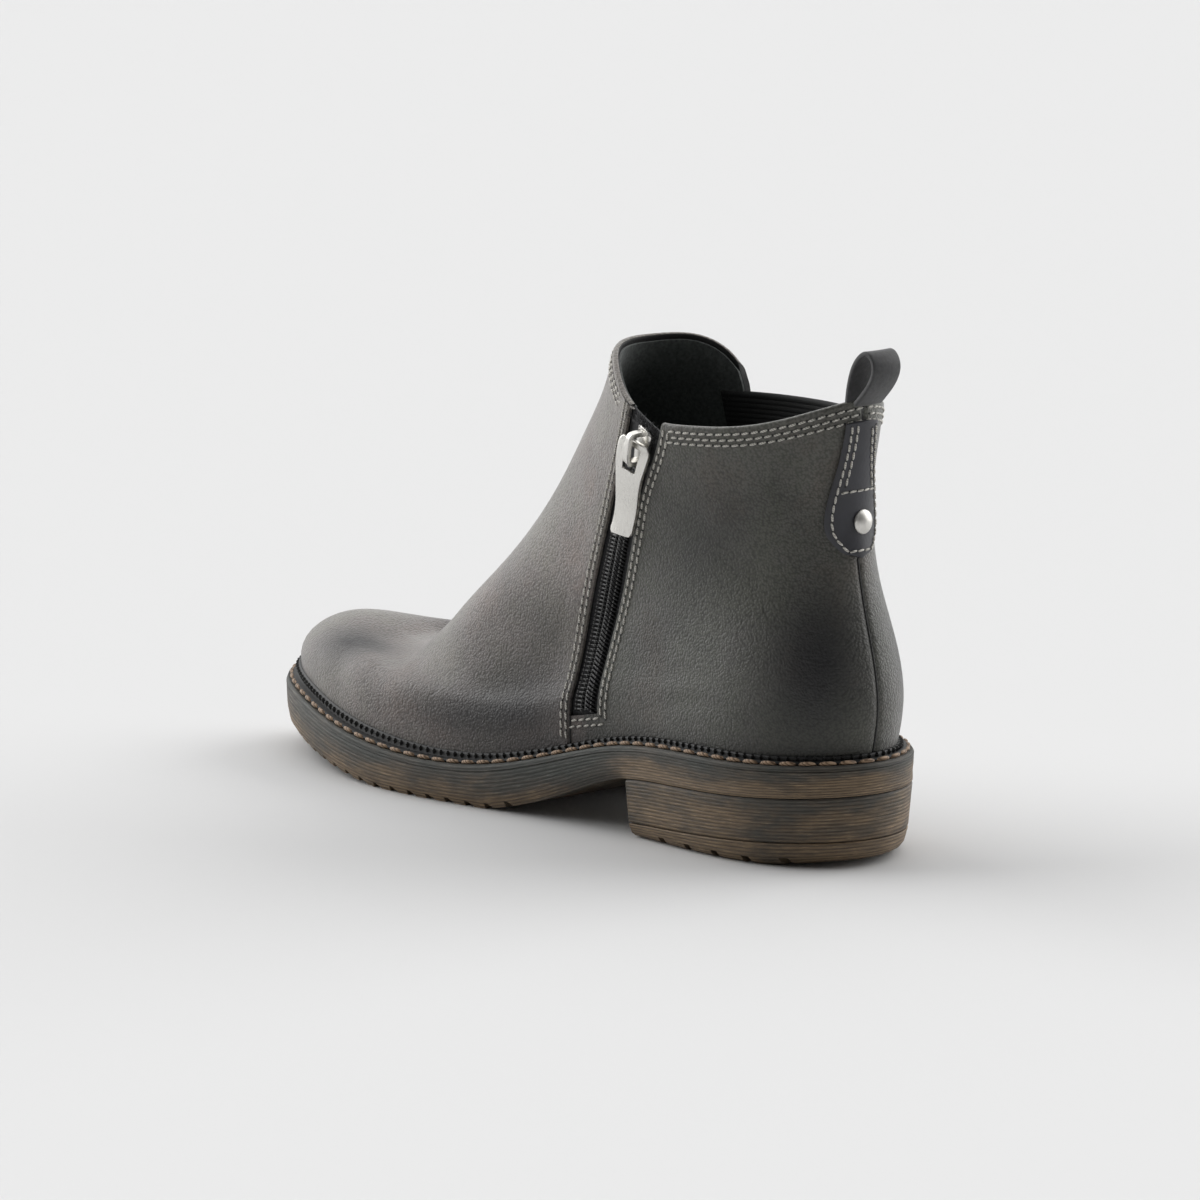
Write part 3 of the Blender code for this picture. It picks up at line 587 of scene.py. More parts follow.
def draped(name, columns, rows, place):
    """A grid laid over a surface: place(u, v) gives its points for shares u and v from 0 to 1."""
    bpy.ops.object.select_all(action="DESELECT")
    bpy.ops.mesh.primitive_grid_add(x_subdivisions=columns, y_subdivisions=rows, size=2.0)
    piece = bpy.context.object
    piece.name = name
    flat = read_points(piece)
    write_points(piece, place((flat[:, 0] + 1) / 2, (flat[:, 1] + 1) / 2))
    return piece


def ringed(name, rings):
    """A closed skin through closed rings, from the first to the last; its UV map is in metres."""
    rings = np.asarray(rings)
    rows, columns = rings.shape[:2]

    def index(u, v):
        return np.rint(v * (rows - 1)).astype(int), np.rint(u * columns).astype(int)

    def place(u, v):
        row, spot = index(u, v)
        return rings[row, spot % columns]

    piece = draped(name, columns, rows - 1, place)
    closed = np.concatenate([rings, rings[:, :1]], axis=1)
    widest = closed[rows // 2]
    along = distances(widest)
    down = np.r_[0, np.cumsum(np.linalg.norm(np.diff(rings, axis=0), axis=2).mean(axis=1))]
    uv = np.empty(2 * len(piece.data.loops))
    piece.data.uv_layers[0].data.foreach_get("uv", uv)
    uv = uv.reshape(-1, 2)
    row, spot = index(uv[:, 0], uv[:, 1])
    uv = np.stack([along[spot], down[row]], axis=-1) * MM
    piece.data.uv_layers[0].data.foreach_set("uv", uv.ravel())
    merge_points(piece)
    return piece


def copies(name, template, frames):
    """One mesh of many copies of a template; frames are origins and three axes in millimetres."""
    points = read_points(template) / MM
    faces = [tuple(face.vertices) for face in template.data.polygons]
    origins, axes = frames
    every = origins[:, None, :] + np.einsum("pk,nkc->npc", points, axes)
    every = (every.reshape(-1, 3) + SHIFT) * MM
    count = len(points)
    all_faces = [tuple(i + n * count for i in face) for n in range(len(origins)) for face in faces]
    mesh = bpy.data.meshes.new(name)
    mesh.from_pydata(every.tolist(), [], all_faces)
    mesh.update()
    piece = bpy.data.objects.new(name, mesh)
    bpy.context.scene.collection.objects.link(piece)
    bpy.data.objects.remove(template)
    soften(piece, 60.0)
    return piece


def capsule(length, width, height, segments=8, rings=6):
    """A rounded stitch, fibre or turn of the coil, lying along its own X axis, in metres."""
    bpy.ops.object.select_all(action="DESELECT")
    bpy.ops.mesh.primitive_uv_sphere_add(segments=segments, ring_count=rings, radius=1.0)
    piece = bpy.context.object
    points = read_points(piece)[:, [2, 0, 1]]
    points = np.sign(points) * np.abs(points) ** np.array([0.7, 1.0, 1.0])
    points *= np.array([length, width, height]) / 2 * MM
    piece.data.vertices.foreach_set("co", points.ravel())
    return piece


def line_frames(points, normals, pitch, start=0.0):
    """Origins and axes of even steps along a line on a surface: along it, across it, out of it."""
    length, near = distances(points), 0.4
    spots = np.arange(start + pitch / 2, length[-1] - pitch / 4, pitch)
    place = places_at(spots, length, points)
    out = unit(places_at(spots, length, normals))
    way = unit(places_at(spots + near, length, points) - places_at(spots - near, length, points))
    out = unit(out - (out * way).sum(axis=-1, keepdims=True) * way)
    return place, np.stack([way, np.cross(out, way), out], axis=1)


def join_frames(parts):
    return np.concatenate([p[0] for p in parts]), np.concatenate([p[1] for p in parts])


def dress(piece, body, material, *nodes):
    """Material, body and the CAD nodes that a piece stands for."""
    if not piece.data.materials:
        piece.data.materials.append(material)
    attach(piece, body)
    if nodes:
        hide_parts(*nodes)
    return piece


def prism(name, outline, low, high):
    """A cutter: an outline in side view pushed along Y from low to high."""
    bpy.ops.object.select_all(action="DESELECT")
    bpy.ops.mesh.primitive_circle_add(vertices=len(outline), radius=1.0, fill_type="NGON")
    piece = bpy.context.object
    piece.name = name
    write_points(piece, [(x, low, z) for x, z in outline])
    push = {"value": (0, (high - low) * MM, 0)}
    edit_all(piece, bpy.ops.mesh.extrude_region_move, TRANSFORM_OT_translate=push)
    face_outwards(piece)
    return piece


def joined(name, pieces):
    bpy.ops.object.select_all(action="DESELECT")
    for piece in pieces:
        piece.select_set(True)
    bpy.context.view_layer.objects.active = pieces[0]
    bpy.ops.object.join()
    pieces[0].name = name
    return pieces[0]


def cut_out(piece, cutter):
    """Takes a cutter's shape out of a piece, and then removes the cutter."""
    modify(piece, "BOOLEAN", operation="DIFFERENCE", solver="EXACT", object=cutter)
    bpy.data.objects.remove(cutter)


def cut_gaps(piece, name, outlines):
    """Cuts grooves right across a piece, each an outline in side view."""
    cut_out(piece, joined(name, [prism(name, outline, -FAR_SIDE, FAR_SIDE) for outline in outlines]))


# Materials

def add(tree, kind, inputs=None, stops=None, **settings):
    """A node with its settings; an input is a value, or the output that it is linked to."""
    node = tree.nodes.new(kind)
    for name, value in settings.items():
        setattr(node, name, value)
    for name, value in (inputs or {}).items():
        if isinstance(value, bpy.types.NodeSocket):
            tree.links.new(value, node.inputs[name])
        else:
            node.inputs[name].default_value = value
    for spot, (position, colour) in enumerate(stops or ()):
        elements = node.color_ramp.elements
        element = elements[spot] if spot < len(elements) else elements.new(position)
        element.position = position
        element.color = colour
    return node


def new_material(name, **sockets):
    """A Principled material with constant values on its own sockets."""
    material = bpy.data.materials.new(name)
    material.use_nodes = True
    shader = material.node_tree.nodes["Principled BSDF"]
    for socket, value in sockets.items():
        shader.inputs[socket.replace("_", " ")].default_value = value
    return material, material.node_tree, shader


def grey(value):
    return (value, value, value, 1.0)


def tint_and_raise(tree, shader, value, stops, strength, height):
    """A material's colour and its relief in millimetres, both from one texture's value."""
    tone = add(tree, "ShaderNodeValToRGB", {"Fac": value}, stops)
    tree.links.new(tone.outputs["Color"], shader.inputs["Base Color"])
    relief = add(
        tree,
        "ShaderNodeBump",
        {"Height": value, "Strength": strength, "Distance": height * MM},
    )
    tree.links.new(relief.outputs["Normal"], shader.inputs["Normal"])


def noise_dyed(name, grain, detail, stops, relief, rough=0.5, **sockets):
    """A dyed material: its colour and its relief follow one noise, whose grain is in millimetres."""
    material, tree, shader = new_material(name, **sockets)
    place = add(tree, "ShaderNodeTexCoord").outputs["Object"]
    looks = {"Vector": place, "Scale": 1 / (grain * MM), "Detail": detail, "Roughness": rough}
    noise = add(tree, "ShaderNodeTexNoise", looks)
    tint_and_raise(tree, shader, noise.outputs["Fac"], stops, *relief)
    return material


def multiply(tree, colour, *layers):
    """A colour multiplied by the colours of layers, each with its share."""
    for share, layer in layers:
        mixed = add(
            tree,
            "ShaderNodeMix",
            {0: share, 6: colour, 7: layer.outputs["Color"]},
            data_type="RGBA",
            blend_type="MULTIPLY",
        )
        colour = mixed.outputs[2]
    return colour


def pebbled_leather():
    """Waxed cow leather with a pressed pebble grain: satin and mottled, rubbed darker at toe and counter,
    with painted shade low down and on the zip side, and a lighter vamp that is partly painted light.
    """
    pebble, wrinkle, mottle, stain = 0.8, 2.6, 24.0, 34.0
    material, tree, shader = new_material(
        "pebbled_leather",
        IOR=1.5,
        Specular_IOR_Level=0.36,
        Coat_Weight=0.06,
        Coat_Roughness=0.4,
        Sheen_Roughness=0.4,
    )
    place = add(tree, "ShaderNodeTexCoord").outputs["Object"]
    warp = add(tree, "ShaderNodeTexNoise", {"Vector": place, "Scale": 1 / (3.0 * MM), "Detail": 2.0})
    shaken = add(
        tree,
        "ShaderNodeMix",
        {0: 0.0012, 4: place, 5: warp.outputs["Color"]},
        data_type="VECTOR",
        clamp_factor=False,
    )
    cells = add(
        tree,
        "ShaderNodeTexVoronoi",
        {"Vector": shaken.outputs[1], "Scale": 1 / (pebble * MM), "Randomness": 1.0},
        feature="F1",
    )
    fine = add(
        tree,
        "ShaderNodeTexNoise",
        {
            "Vector": place,
            "Scale": 1 / (wrinkle * MM),
            "Detail": 6.0,
            "Roughness": 0.62,
            "Distortion": 0.6,
        },
    )
    cloud = add(
        tree,
        "ShaderNodeTexNoise",
        {"Vector": place, "Scale": 1 / (mottle * MM), "Detail": 5.0, "Roughness": 0.6},
    )
    # Lighter vamp leather: partly its own lighter tone, partly painted light on the front of the boot,
    # which faces the key lamp
    vamp_tone_and_painted_light = add(tree, "ShaderNodeAttribute", attribute_name="vamp_tone_and_painted_light")
    hide = add(
        tree,
        "ShaderNodeMix",
        {0: vamp_tone_and_painted_light.outputs["Fac"], 6: srgb("#605f59"), 7: srgb("#837b76")},
        data_type="RGBA",
    )
    spread_out = add(
        tree,
        "ShaderNodeTexNoise",
        {"Vector": place, "Scale": 1 / (stain * MM), "Detail": 6.0, "Roughness": 0.65},
    )
    patch = add(
        tree,
        "ShaderNodeValToRGB",
        {"Fac": spread_out.outputs["Fac"]},
        stops=((0.42, srgb("#f6faf2")), (0.52, srgb("#ffffff")), (0.64, srgb("#fff5f0"))),
    )
    tone = add(
        tree,
        "ShaderNodeValToRGB",
        {"Fac": cloud.outputs["Fac"]},
        stops=((0.30, grey(0.62)), (0.52, grey(0.9)), (0.72, grey(1.05))),
    )
    speck = add(
        tree,
        "ShaderNodeValToRGB",
        {"Fac": cells.outputs["Distance"]},
        stops=((0.28, grey(1.0)), (0.5, grey(0.86)), (0.74, grey(0.52))),
    )
    grained = multiply(tree, hide.outputs[2], (1.0, patch), (1.0, tone), (0.8, speck))
    # Dark of rubbed wax at the toe and counter, and painted shade low down and on the zip side
    burnish_and_shade = add(tree, "ShaderNodeAttribute", attribute_name="burnish_and_painted_shade")
    uneven = add(
        tree,
        "ShaderNodeMath",
        {0: cloud.outputs["Fac"], 1: 0.5, 2: 0.72},
        operation="MULTIPLY_ADD",
    )
    dark = add(
        tree,
        "ShaderNodeMath",
        {0: burnish_and_shade.outputs["Fac"], 1: uneven.outputs[0]},
        operation="MULTIPLY",
        use_clamp=True,
    )
    colour = add(
        tree,
        "ShaderNodeMix",
        {0: dark.outputs[0], 6: grained, 7: srgb("#232325")},
        data_type="RGBA",
    )
    # Less sheen where the wax and the painted shade darken the leather
    less_sheen_where_dark = add(tree, "ShaderNodeMapRange", {"Value": dark.outputs[0], "To Min": 0.58, "To Max": 0.08})
    tree.links.new(less_sheen_where_dark.outputs["Result"], shader.inputs["Sheen Weight"])
    seam = add(tree, "ShaderNodeAttribute", attribute_name="seam")
    seamed = add(
        tree,
        "ShaderNodeMix",
        {0: seam.outputs["Fac"], 6: colour.outputs[2], 7: srgb("#171717")},
        data_type="RGBA",
    )
    tree.links.new(seamed.outputs[2], shader.inputs["Base Color"])
    gloss = add(
        tree,
        "ShaderNodeMapRange",
        {"Value": fine.outputs["Fac"], "From Min": 0.3, "From Max": 0.7, "To Min": 0.42, "To Max": 0.58},
    )
    tree.links.new(gloss.outputs["Result"], shader.inputs["Roughness"])
    pebbles = add(
        tree,
        "ShaderNodeBump",
        {"Height": cells.outputs["Distance"], "Strength": 0.75, "Distance": 0.3 * MM},
        invert=True,
    )
    wrinkles = add(
        tree,
        "ShaderNodeBump",
        {
            "Height": fine.outputs["Fac"],
            "Strength": 0.4,
            "Distance": 0.4 * MM,
            "Normal": pebbles.outputs["Normal"],
        },
    )
    tree.links.new(wrinkles.outputs["Normal"], shader.inputs["Normal"])
    return material


def dyed_edge():
    """Cut edge and flesh side of the leather, dyed dark: matt and slightly fibrous."""
    stops = ((0.3, srgb("#121212")), (0.7, srgb("#1f1f1e")))
    return noise_dyed("dyed_edge", 0.8, 5.0, stops, (0.4, 0.2), IOR=1.5, Roughness=0.7)


def tab_leather():
    """Smooth calf leather dyed blue black, polished: close pores and a soft sheen."""
    pore = 0.9
    material, tree, shader = new_material("tab_leather", IOR=1.5, Coat_Weight=0.2, Coat_Roughness=0.3)
    place = add(tree, "ShaderNodeTexCoord").outputs["Object"]
    cloud = add(tree, "ShaderNodeTexNoise", {"Vector": place, "Scale": 1 / (9.0 * MM), "Detail": 4.0})
    tone = add(
        tree,
        "ShaderNodeValToRGB",
        {"Fac": cloud.outputs["Fac"]},
        stops=((0.3, srgb("#1b1b22")), (0.7, srgb("#2b2c33"))),
    )
    tree.links.new(tone.outputs["Color"], shader.inputs["Base Color"])
    pores = add(
        tree,
        "ShaderNodeTexVoronoi",
        {"Vector": place, "Scale": 1 / (pore * MM)},
        feature="SMOOTH_F1",
    )
    shine = add(
        tree,
        "ShaderNodeMapRange",
        {"Value": cloud.outputs["Fac"], "From Min": 0.3, "From Max": 0.7, "To Min": 0.36, "To Max": 0.48},
    )
    tree.links.new(shine.outputs["Result"], shader.inputs["Roughness"])
    relief = add(
        tree,
        "ShaderNodeBump",
        {"Height": pores.outputs["Distance"], "Strength": 0.35, "Distance": 0.15 * MM},
        invert=True,
    )
    tree.links.new(relief.outputs["Normal"], shader.inputs["Normal"])
    return material


def lining_cloth():
    """Black brushed textile lining: matt, with a soft nap."""
    stops = ((0.3, srgb("#404442")), (0.7, srgb("#5c605e")))
    shine = {"Roughness": 0.82, "Sheen_Weight": 0.12, "Sheen_Roughness": 0.5}
    return noise_dyed("lining_cloth", 1.1, 5.0, stops, (0.4, 0.2), **shine)


def elastic_cloth():
    """Ribbed black elastic: rubber cords wrapped in yarn, matt between the ribs."""
    yarn = 0.5
    material, tree, shader = new_material("elastic_cloth", Roughness=0.78, Sheen_Weight=0.1)
    place = add(tree, "ShaderNodeTexCoord").outputs["Object"]
    knit = add(
        tree,
        "ShaderNodeTexWave",
        {"Vector": place, "Scale": 1 / (2 * math.pi * yarn * MM) * 2, "Distortion": 1.2, "Detail": 1.0},
        bands_direction="X",
    )
    stops = ((0.1, srgb("#131414")), (0.9, srgb("#232424")))
    tint_and_raise(tree, shader, knit.outputs["Fac"], stops, 0.5, 0.15)
    return material


def woven_tape():
    """Black polyester zip tape in a fine herringbone weave, drawn a little coarse so that it shows."""
    yarn = 0.7
    material, tree, shader = new_material("woven_tape", Roughness=0.75, Sheen_Weight=0.1)
    place = add(tree, "ShaderNodeTexCoord").outputs["Object"]
    turn = add(tree, "ShaderNodeMapping", {"Vector": place, "Rotation": (0.0, math.radians(35), 0.0)})
    weave = add(
        tree,
        "ShaderNodeTexChecker",
        {"Vector": turn.outputs["Vector"], "Scale": 1 / (yarn * MM)},
    )
    stops = ((0.0, srgb("#141416")), (1.0, srgb("#27272a")))
    tint_and_raise(tree, shader, weave.outputs["Fac"], stops, 0.5, 0.12)
    return material


def nylon_coil():
    """Black extruded nylon: smooth, with a soft highlight on each turn."""
    material, tree, shader = new_material("nylon_coil", IOR=1.53, Roughness=0.34)
    place = add(tree, "ShaderNodeTexCoord").outputs["Object"]
    dust = add(tree, "ShaderNodeTexNoise", {"Vector": place, "Scale": 1 / (4.0 * MM), "Detail": 4.0})
    tone = add(
        tree,
        "ShaderNodeValToRGB",
        {"Fac": dust.outputs["Fac"]},
        stops=((0.35, srgb("#0f0f10")), (0.75, srgb("#1a1a1a"))),
    )
    tree.links.new(tone.outputs["Color"], shader.inputs["Base Color"])
    return material


def satin_nickel(name, roughness):
    """Nickel plate on die-cast zinc, tumbled satin: fine scratches blur its reflections."""
    scratch = 0.35
    material, tree, shader = new_material(name, Metallic=1.0)
    place = add(tree, "ShaderNodeTexCoord").outputs["Object"]
    lines = add(tree, "ShaderNodeMapping", {"Vector": place, "Scale": (3.0, 3.0, 0.4)})
    haze = add(
        tree,
        "ShaderNodeTexNoise",
        {"Vector": lines.outputs["Vector"], "Scale": 1 / (scratch * MM) / 3, "Detail": 4.0},
    )
    tone = add(
        tree,
        "ShaderNodeValToRGB",
        {"Fac": haze.outputs["Fac"]},
        stops=((0.3, srgb("#d2d0cb")), (0.7, srgb("#dedcd7"))),
    )
    tree.links.new(tone.outputs["Color"], shader.inputs["Base Color"])
    gloss = add(
        tree,
        "ShaderNodeMapRange",
        {"Value": haze.outputs["Fac"], "To Min": roughness - 0.06, "To Max": roughness + 0.08},
    )
    tree.links.new(gloss.outputs["Result"], shader.inputs["Roughness"])
    return material


def twisted_thread(name, light, dark, ply):
    """Waxed polyester sewing thread: plies twisted together, drawn coarse enough to show."""
    material, tree, shader = new_material(name, Roughness=0.6, Sheen_Weight=0.15)
    place = add(tree, "ShaderNodeTexCoord").outputs["Object"]
    turn = add(tree, "ShaderNodeMapping", {"Vector": place, "Rotation": (0.5, 0.8, 0.4)})
    twist = add(
        tree,
        "ShaderNodeTexWave",
        {"Vector": turn.outputs["Vector"], "Scale": 1 / (2 * math.pi * ply * MM) * 2, "Distortion": 0.8},
    )
    stops = ((0.15, srgb(dark)), (0.6, srgb(light)))
    tint_and_raise(tree, shader, twist.outputs["Fac"], stops, 0.6, 0.2)
    return material


def striated_rubber():
    """Moulded rubber with a stacked-leather look: fine layers, rubbed brown under a slate-grey dye."""
    layer, scratch, streak, patch = 1.15, 0.38, 7.0, 26.0
    material, tree, shader = new_material("striated_rubber", IOR=1.5)
    place = add(tree, "ShaderNodeTexCoord").outputs["UV"]
    long = add(tree, "ShaderNodeMapping", {"Vector": place, "Scale": (0.05, 1.0, 1.0)})
    layers = add(
        tree,
        "ShaderNodeTexWave",
        {
            "Vector": long.outputs["Vector"],
            "Scale": math.pi / 10 / (layer * MM),
            "Distortion": 1.3,
            "Detail": 3.0,
            "Detail Scale": 0.6,
            "Detail Roughness": 0.6,
        },
        bands_direction="Y",
    )
    by_scratch = (1 / streak / MM, 1 / scratch / MM, 1.0)
    thin = add(tree, "ShaderNodeMapping", {"Vector": place, "Scale": by_scratch})
    scratches = add(
        tree,
        "ShaderNodeTexNoise",
        {"Vector": thin.outputs["Vector"], "Scale": 1.0, "Detail": 3.0, "Roughness": 0.7},
        noise_dimensions="2D",
    )
    by_patch = (1 / patch / MM, 3.0 / patch / MM, 1.0)
    wide = add(tree, "ShaderNodeMapping", {"Vector": place, "Scale": by_patch})
    patches = add(
        tree,
        "ShaderNodeTexNoise",
        {"Vector": wide.outputs["Vector"], "Scale": 1.0, "Detail": 5.0, "Roughness": 0.62},
        noise_dimensions="2D",
    )
    rim = add(tree, "ShaderNodeAttribute", attribute_name="rim")
    slate = add(
        tree,
        "ShaderNodeMath",
        {0: patches.outputs["Fac"], 1: rim.outputs["Fac"]},
        operation="ADD",
    )
    worn = add(
        tree,
        "ShaderNodeValToRGB",
        {"Fac": slate.outputs[0]},
        stops=(
            (0.34, srgb("#7d6a53")),
            (0.48, srgb("#665949")),
            (0.61, srgb("#504b43")),
            (0.85, srgb("#40423d")),
        ),
    )
    ridges = add(
        tree,
        "ShaderNodeMath",
        {0: layers.outputs["Fac"], 1: 0.5, 2: scratches.outputs["Fac"]},
        operation="MULTIPLY_ADD",
    )
    furrows = add(
        tree,
        "ShaderNodeValToRGB",
        {"Fac": layers.outputs["Fac"]},
        stops=((0.1, grey(0.56)), (0.5, grey(1.0)), (0.95, grey(1.12))),
    )
    scuffs = add(
        tree,
        "ShaderNodeValToRGB",
        {"Fac": scratches.outputs["Fac"]},
        stops=((0.3, grey(0.7)), (0.5, grey(0.95)), (0.62, grey(1.12)), (0.74, grey(2.2))),
    )
    colour = multiply(tree, worn.outputs["Color"], (1.0, furrows), (1.0, scuffs))
    tree.links.new(colour, shader.inputs["Base Color"])
    matt = add(
        tree,
        "ShaderNodeMapRange",
        {"Value": scratches.outputs["Fac"], "To Min": 0.72, "To Max": 0.52},
    )
    tree.links.new(matt.outputs["Result"], shader.inputs["Roughness"])
    relief = add(
        tree,
        "ShaderNodeBump",
        {"Height": ridges.outputs[0], "Strength": 0.7, "Distance": 0.3 * MM},
    )
    tree.links.new(relief.outputs["Normal"], shader.inputs["Normal"])
    return material


def black_rubber():
    """Moulded black rubber welt: matt, darker in its hollows."""
    stops = ((0.35, srgb("#141414")), (0.75, srgb("#252524")))
    return noise_dyed("black_rubber", 3.0, 5.0, stops, (0.3, 0.2), IOR=1.5, Roughness=0.55)


def loop_leather():
    """Split leather strap, dyed charcoal: matt with a short nap along its cut edges."""
    stops = ((0.3, srgb("#2b2b2c")), (0.7, srgb("#404041")))
    shine = {"IOR": 1.5, "Roughness": 0.62, "Sheen_Weight": 0.15}
    return noise_dyed("loop_leather", 1.3, 6.0, stops, (0.5, 0.25), 0.7, **shine)


def studio_paper():
    """Matt paper floor, pale grey."""
    material, _, shader = new_material("studio_paper", Roughness=0.9, Specular_IOR_Level=0.2)
    shader.inputs["Base Color"].default_value = srgb("#dadada")
    return material


# Sole, heel and welt

# Slate-grey dye of the sole layer: middle and reach of the arch; more of it high up, at the arch and in
# front, less low down and all over
ARCH_MIDDLE, ARCH_REACH = 28.0, 26.0
SLATE_HIGH, SLATE_ARCH, SLATE_FRONT, SLATE_LOW, SLATE_LESS = 0.3, 0.26, 0.07, 0.12, 0.1
RING = 420
around = np.arange(RING) / RING
feather = round_wall(around, np.zeros(RING), np.zeros(RING))
sole_edge = spread(feather, WELT_LEDGE)
toe_share = smooth((TOE_ROUND_FROM - sole_edge[:, 0]) / TOE_ROUND_LENGTH)
partner = (-np.arange(RING)) % RING


def paint(piece, name, values):
    """A number for each point of a piece, that its material reads."""
    mark = piece.data.attributes.new(name, "FLOAT", "POINT")
    mark.data.foreach_set("value", np.asarray(values, float))


def sole_ring(share):
    """Edge of the sole layer at a share of its height from the top, flush with the heel behind."""
    shares, inset, toe_inset = np.transpose(SOLE_EDGE)
    in_by = np.interp(share, shares, inset)
    in_toe = np.interp(share, shares, toe_inset)
    over_heel = smooth((sole_edge[:, 0] - BREAST + 6.0) / 10.0) * smooth((share - 0.5) / 0.3)
    in_heel = 0.35 + 0.25 * smooth((share - 0.96) / 0.04)
    side = in_by + (in_toe - in_by) * toe_share
    ring = spread(sole_edge, -(side + (in_heel - side) * over_heel))
    top, bottom = sole_top(ring[:, 0]), sole_bottom(ring[:, 0])
    return at_height(ring, top + share * (bottom - top))


def cap_rings(edge, partners, height, shares):
    """Rings from an edge to the line along its middle, on a face of given height."""
    middle = (edge + edge[partners]) / 2
    rings = [edge + share * (middle - edge) for share in shares]
    return [at_height(ring, height(ring[:, 0])) for ring in rings]


def outsole(rubber):
    down_to_step = (1.0, 0.985, 0.96, 0.93, 0.88, 0.8, 0.7, 0.6, 0.5, 0.4, 0.3, 0.2)
    sides = [sole_ring(share) for share in down_to_step]
    step = [spread(sole_ring(0.16), np.full(RING, -0.3)), sole_ring(0.14)]
    rim = [sole_ring(share) for share in (0.1, 0.06, 0.03, 0.0)]
    shares = (0.12, 0.3, 0.5, 0.75, 1.0)
    under = cap_rings(sides[0], partner, sole_bottom, shares)[::-1]
    over = cap_rings(rim[-1], partner, sole_top, shares)
    rows = under + sides + step + rim + over
    piece = ringed("outsole_sides", rows)
    gaps = []
    for front in np.arange(TREAD_FRONT, TREAD_BACK + 0.1, TREAD_PITCH):
        low = float(sole_bottom(front + TREAD_GROOVE / 2))
        back = front + TREAD_GROOVE + TREAD_SLANT
        root = ((front, low + TREAD_DEPTH), (front + TREAD_ROOT, low + TREAD_DEPTH))
        gaps.append(((front, low - FAR_DOWN), *root, (back, low - GAP), (back, low - FAR_DOWN)))
    cut_gaps(piece, "lug_gaps", gaps)
    soften(piece, 35.0)
    points = maker_points(piece)
    top, bottom = sole_top(points[:, 0]), sole_bottom(points[:, 0])
    share = (points[:, 2] - bottom) / (top - bottom)
    arch = np.exp(-(((points[:, 0] - ARCH_MIDDLE) / ARCH_REACH) ** 2))
    front = smooth((40.0 - points[:, 0]) / 30.0)
    low = smooth((0.45 - share) / 0.4)
    high = smooth((share - 0.45) / 0.5)
    dyed = SLATE_HIGH * high + SLATE_ARCH * arch + SLATE_FRONT * front - SLATE_LOW * low - SLATE_LESS
    paint(piece, "rim", dyed)
    return dress(piece, "boot", rubber, "outsole")


def heel_ring(inset):
    """Edge of the heel, from its inside front corner round the back and across the breast."""
    count = 1600
    dense = round_wall(np.linspace(0, 1, count, endpoint=False), np.zeros(count), np.zeros(count))
    dense = spread(dense, WELT_LEDGE)
    edge = spread(dense, -inset)[dense[:, 0] > BREAST + 0.5]
    front = edge[[0, -1]]
    front[:, 0] = BREAST + inset * BREAST_SLOPE
    edge = np.concatenate([front[:1], edge, front[1:]])
    length = distances(edge[:, :2])
    side = places_at(np.linspace(0, length[-1], HEEL_POINTS), length, edge)
    share = np.linspace(0, 1, BREAST_POINTS + 2)[1:-1, None]
    return np.concatenate([side, side[-1] + share * (side[0] - side[-1])])


def heel_rows(table, shares, low, high):
    """Rings of a heel layer from its bottom face to its top face."""
    levels, insets = np.transpose(table)
    rows = []
    for share in shares:
        ring = heel_ring(float(np.interp(share, levels, insets)))
        bottom, top = low(ring[:, 0]), high(ring[:, 0])
        rows.append(at_height(ring, bottom + share * (top - bottom)))
    partners = np.arange(len(rows[0]))
    for part in (slice(HEEL_POINTS), slice(HEEL_POINTS, None)):
        partners[part] = partners[part][::-1]
    steps = (0.15, 0.4, 0.7, 1.0)
    under = cap_rings(rows[0], partners, low, steps)[::-1]
    over = cap_rings(rows[-1], partners, high, steps)
    return under + rows + over


def lift_top(x):
    return LIFT_FRONT + (LIFT_BACK - LIFT_FRONT) * (x - BREAST) / HEEL_LENGTH


def lift_bottom(x):
    return BEVEL_LIFT * smooth((x - BEVEL_FROM) / (HEEL_BACK - BEVEL_FROM))


def heel_block(rubber):
    shares = (0.0, 0.025, 0.05, 0.16, 0.3, 0.45, 0.6, 0.75, 0.85, 0.95, 0.975, 1.0)
    rows = heel_rows(HEEL_FLUSH, shares, lambda x: lift_top(x) + GAP, lambda x: sole_bottom(x) - GAP)
    piece = ringed("heel_stack", rows)
    soften(piece, 35.0)
    points = maker_points(piece)
    near_sole = smooth((points[:, 2] - 14.0) / 8.0)
    near_breast = smooth((70.0 - points[:, 0]) / 20.0)
    paint(piece, "rim", 0.12 * near_sole + 0.1 * near_breast - 0.07)
    return dress(piece, "boot", rubber, "heel")


def heel_lift(rubber):
    shares = (0.0, 0.06, 0.12, 0.22, 0.35, 0.5, 0.7, 0.94, 0.97, 1.0)
    piece = ringed("heel_top_piece", heel_rows(LIFT_FLUSH, shares, lift_bottom, lift_top))
    gaps = []
    for front in LIFT_GROOVES:
        low, back = float(lift_bottom(front)), front + TREAD_GROOVE
        root = ((front, low + LIFT_GROOVE_DEPTH), (back, low + LIFT_GROOVE_DEPTH))
        gaps.append(((front, low - FAR_DOWN), *root, (back + LIFT_GROOVE_SLANT, low - FAR_DOWN)))
    cut_gaps(piece, "lift_gaps", gaps)
    soften(piece, 35.0)
    points = maker_points(piece)
    # The lift is drawn lighter brown, and lighter towards its top: partly its own worn brown, partly
    # painted light against the shade low on the heel
    paint(piece, "rim", -0.13 - 0.06 * smooth(points[:, 2] / 5.0))
    return dress(piece, "boot", rubber, "heel_lift")


# Cross-section of the welt: level on the wall, distance out from it, height above the sole's ledge
WELT_SECTION = (
    (0.0, 0.0, 0.35),
    (0.0, 3.2, 0.35),
    (0.0, 3.5, 0.6),
    (0.0, 3.4, 0.95),
    (0.0, 2.8, 1.15),
    (0.0, 2.0, 1.15),
    (0.006, 1.3, 1.0),
    (0.010, 1.1, 1.6),
    (0.016, 1.0, 2.2),
    (0.019, 0.7, 2.6),
    (0.020, 0.1, 2.7),
    (0.012, -0.6, 1.6),
)
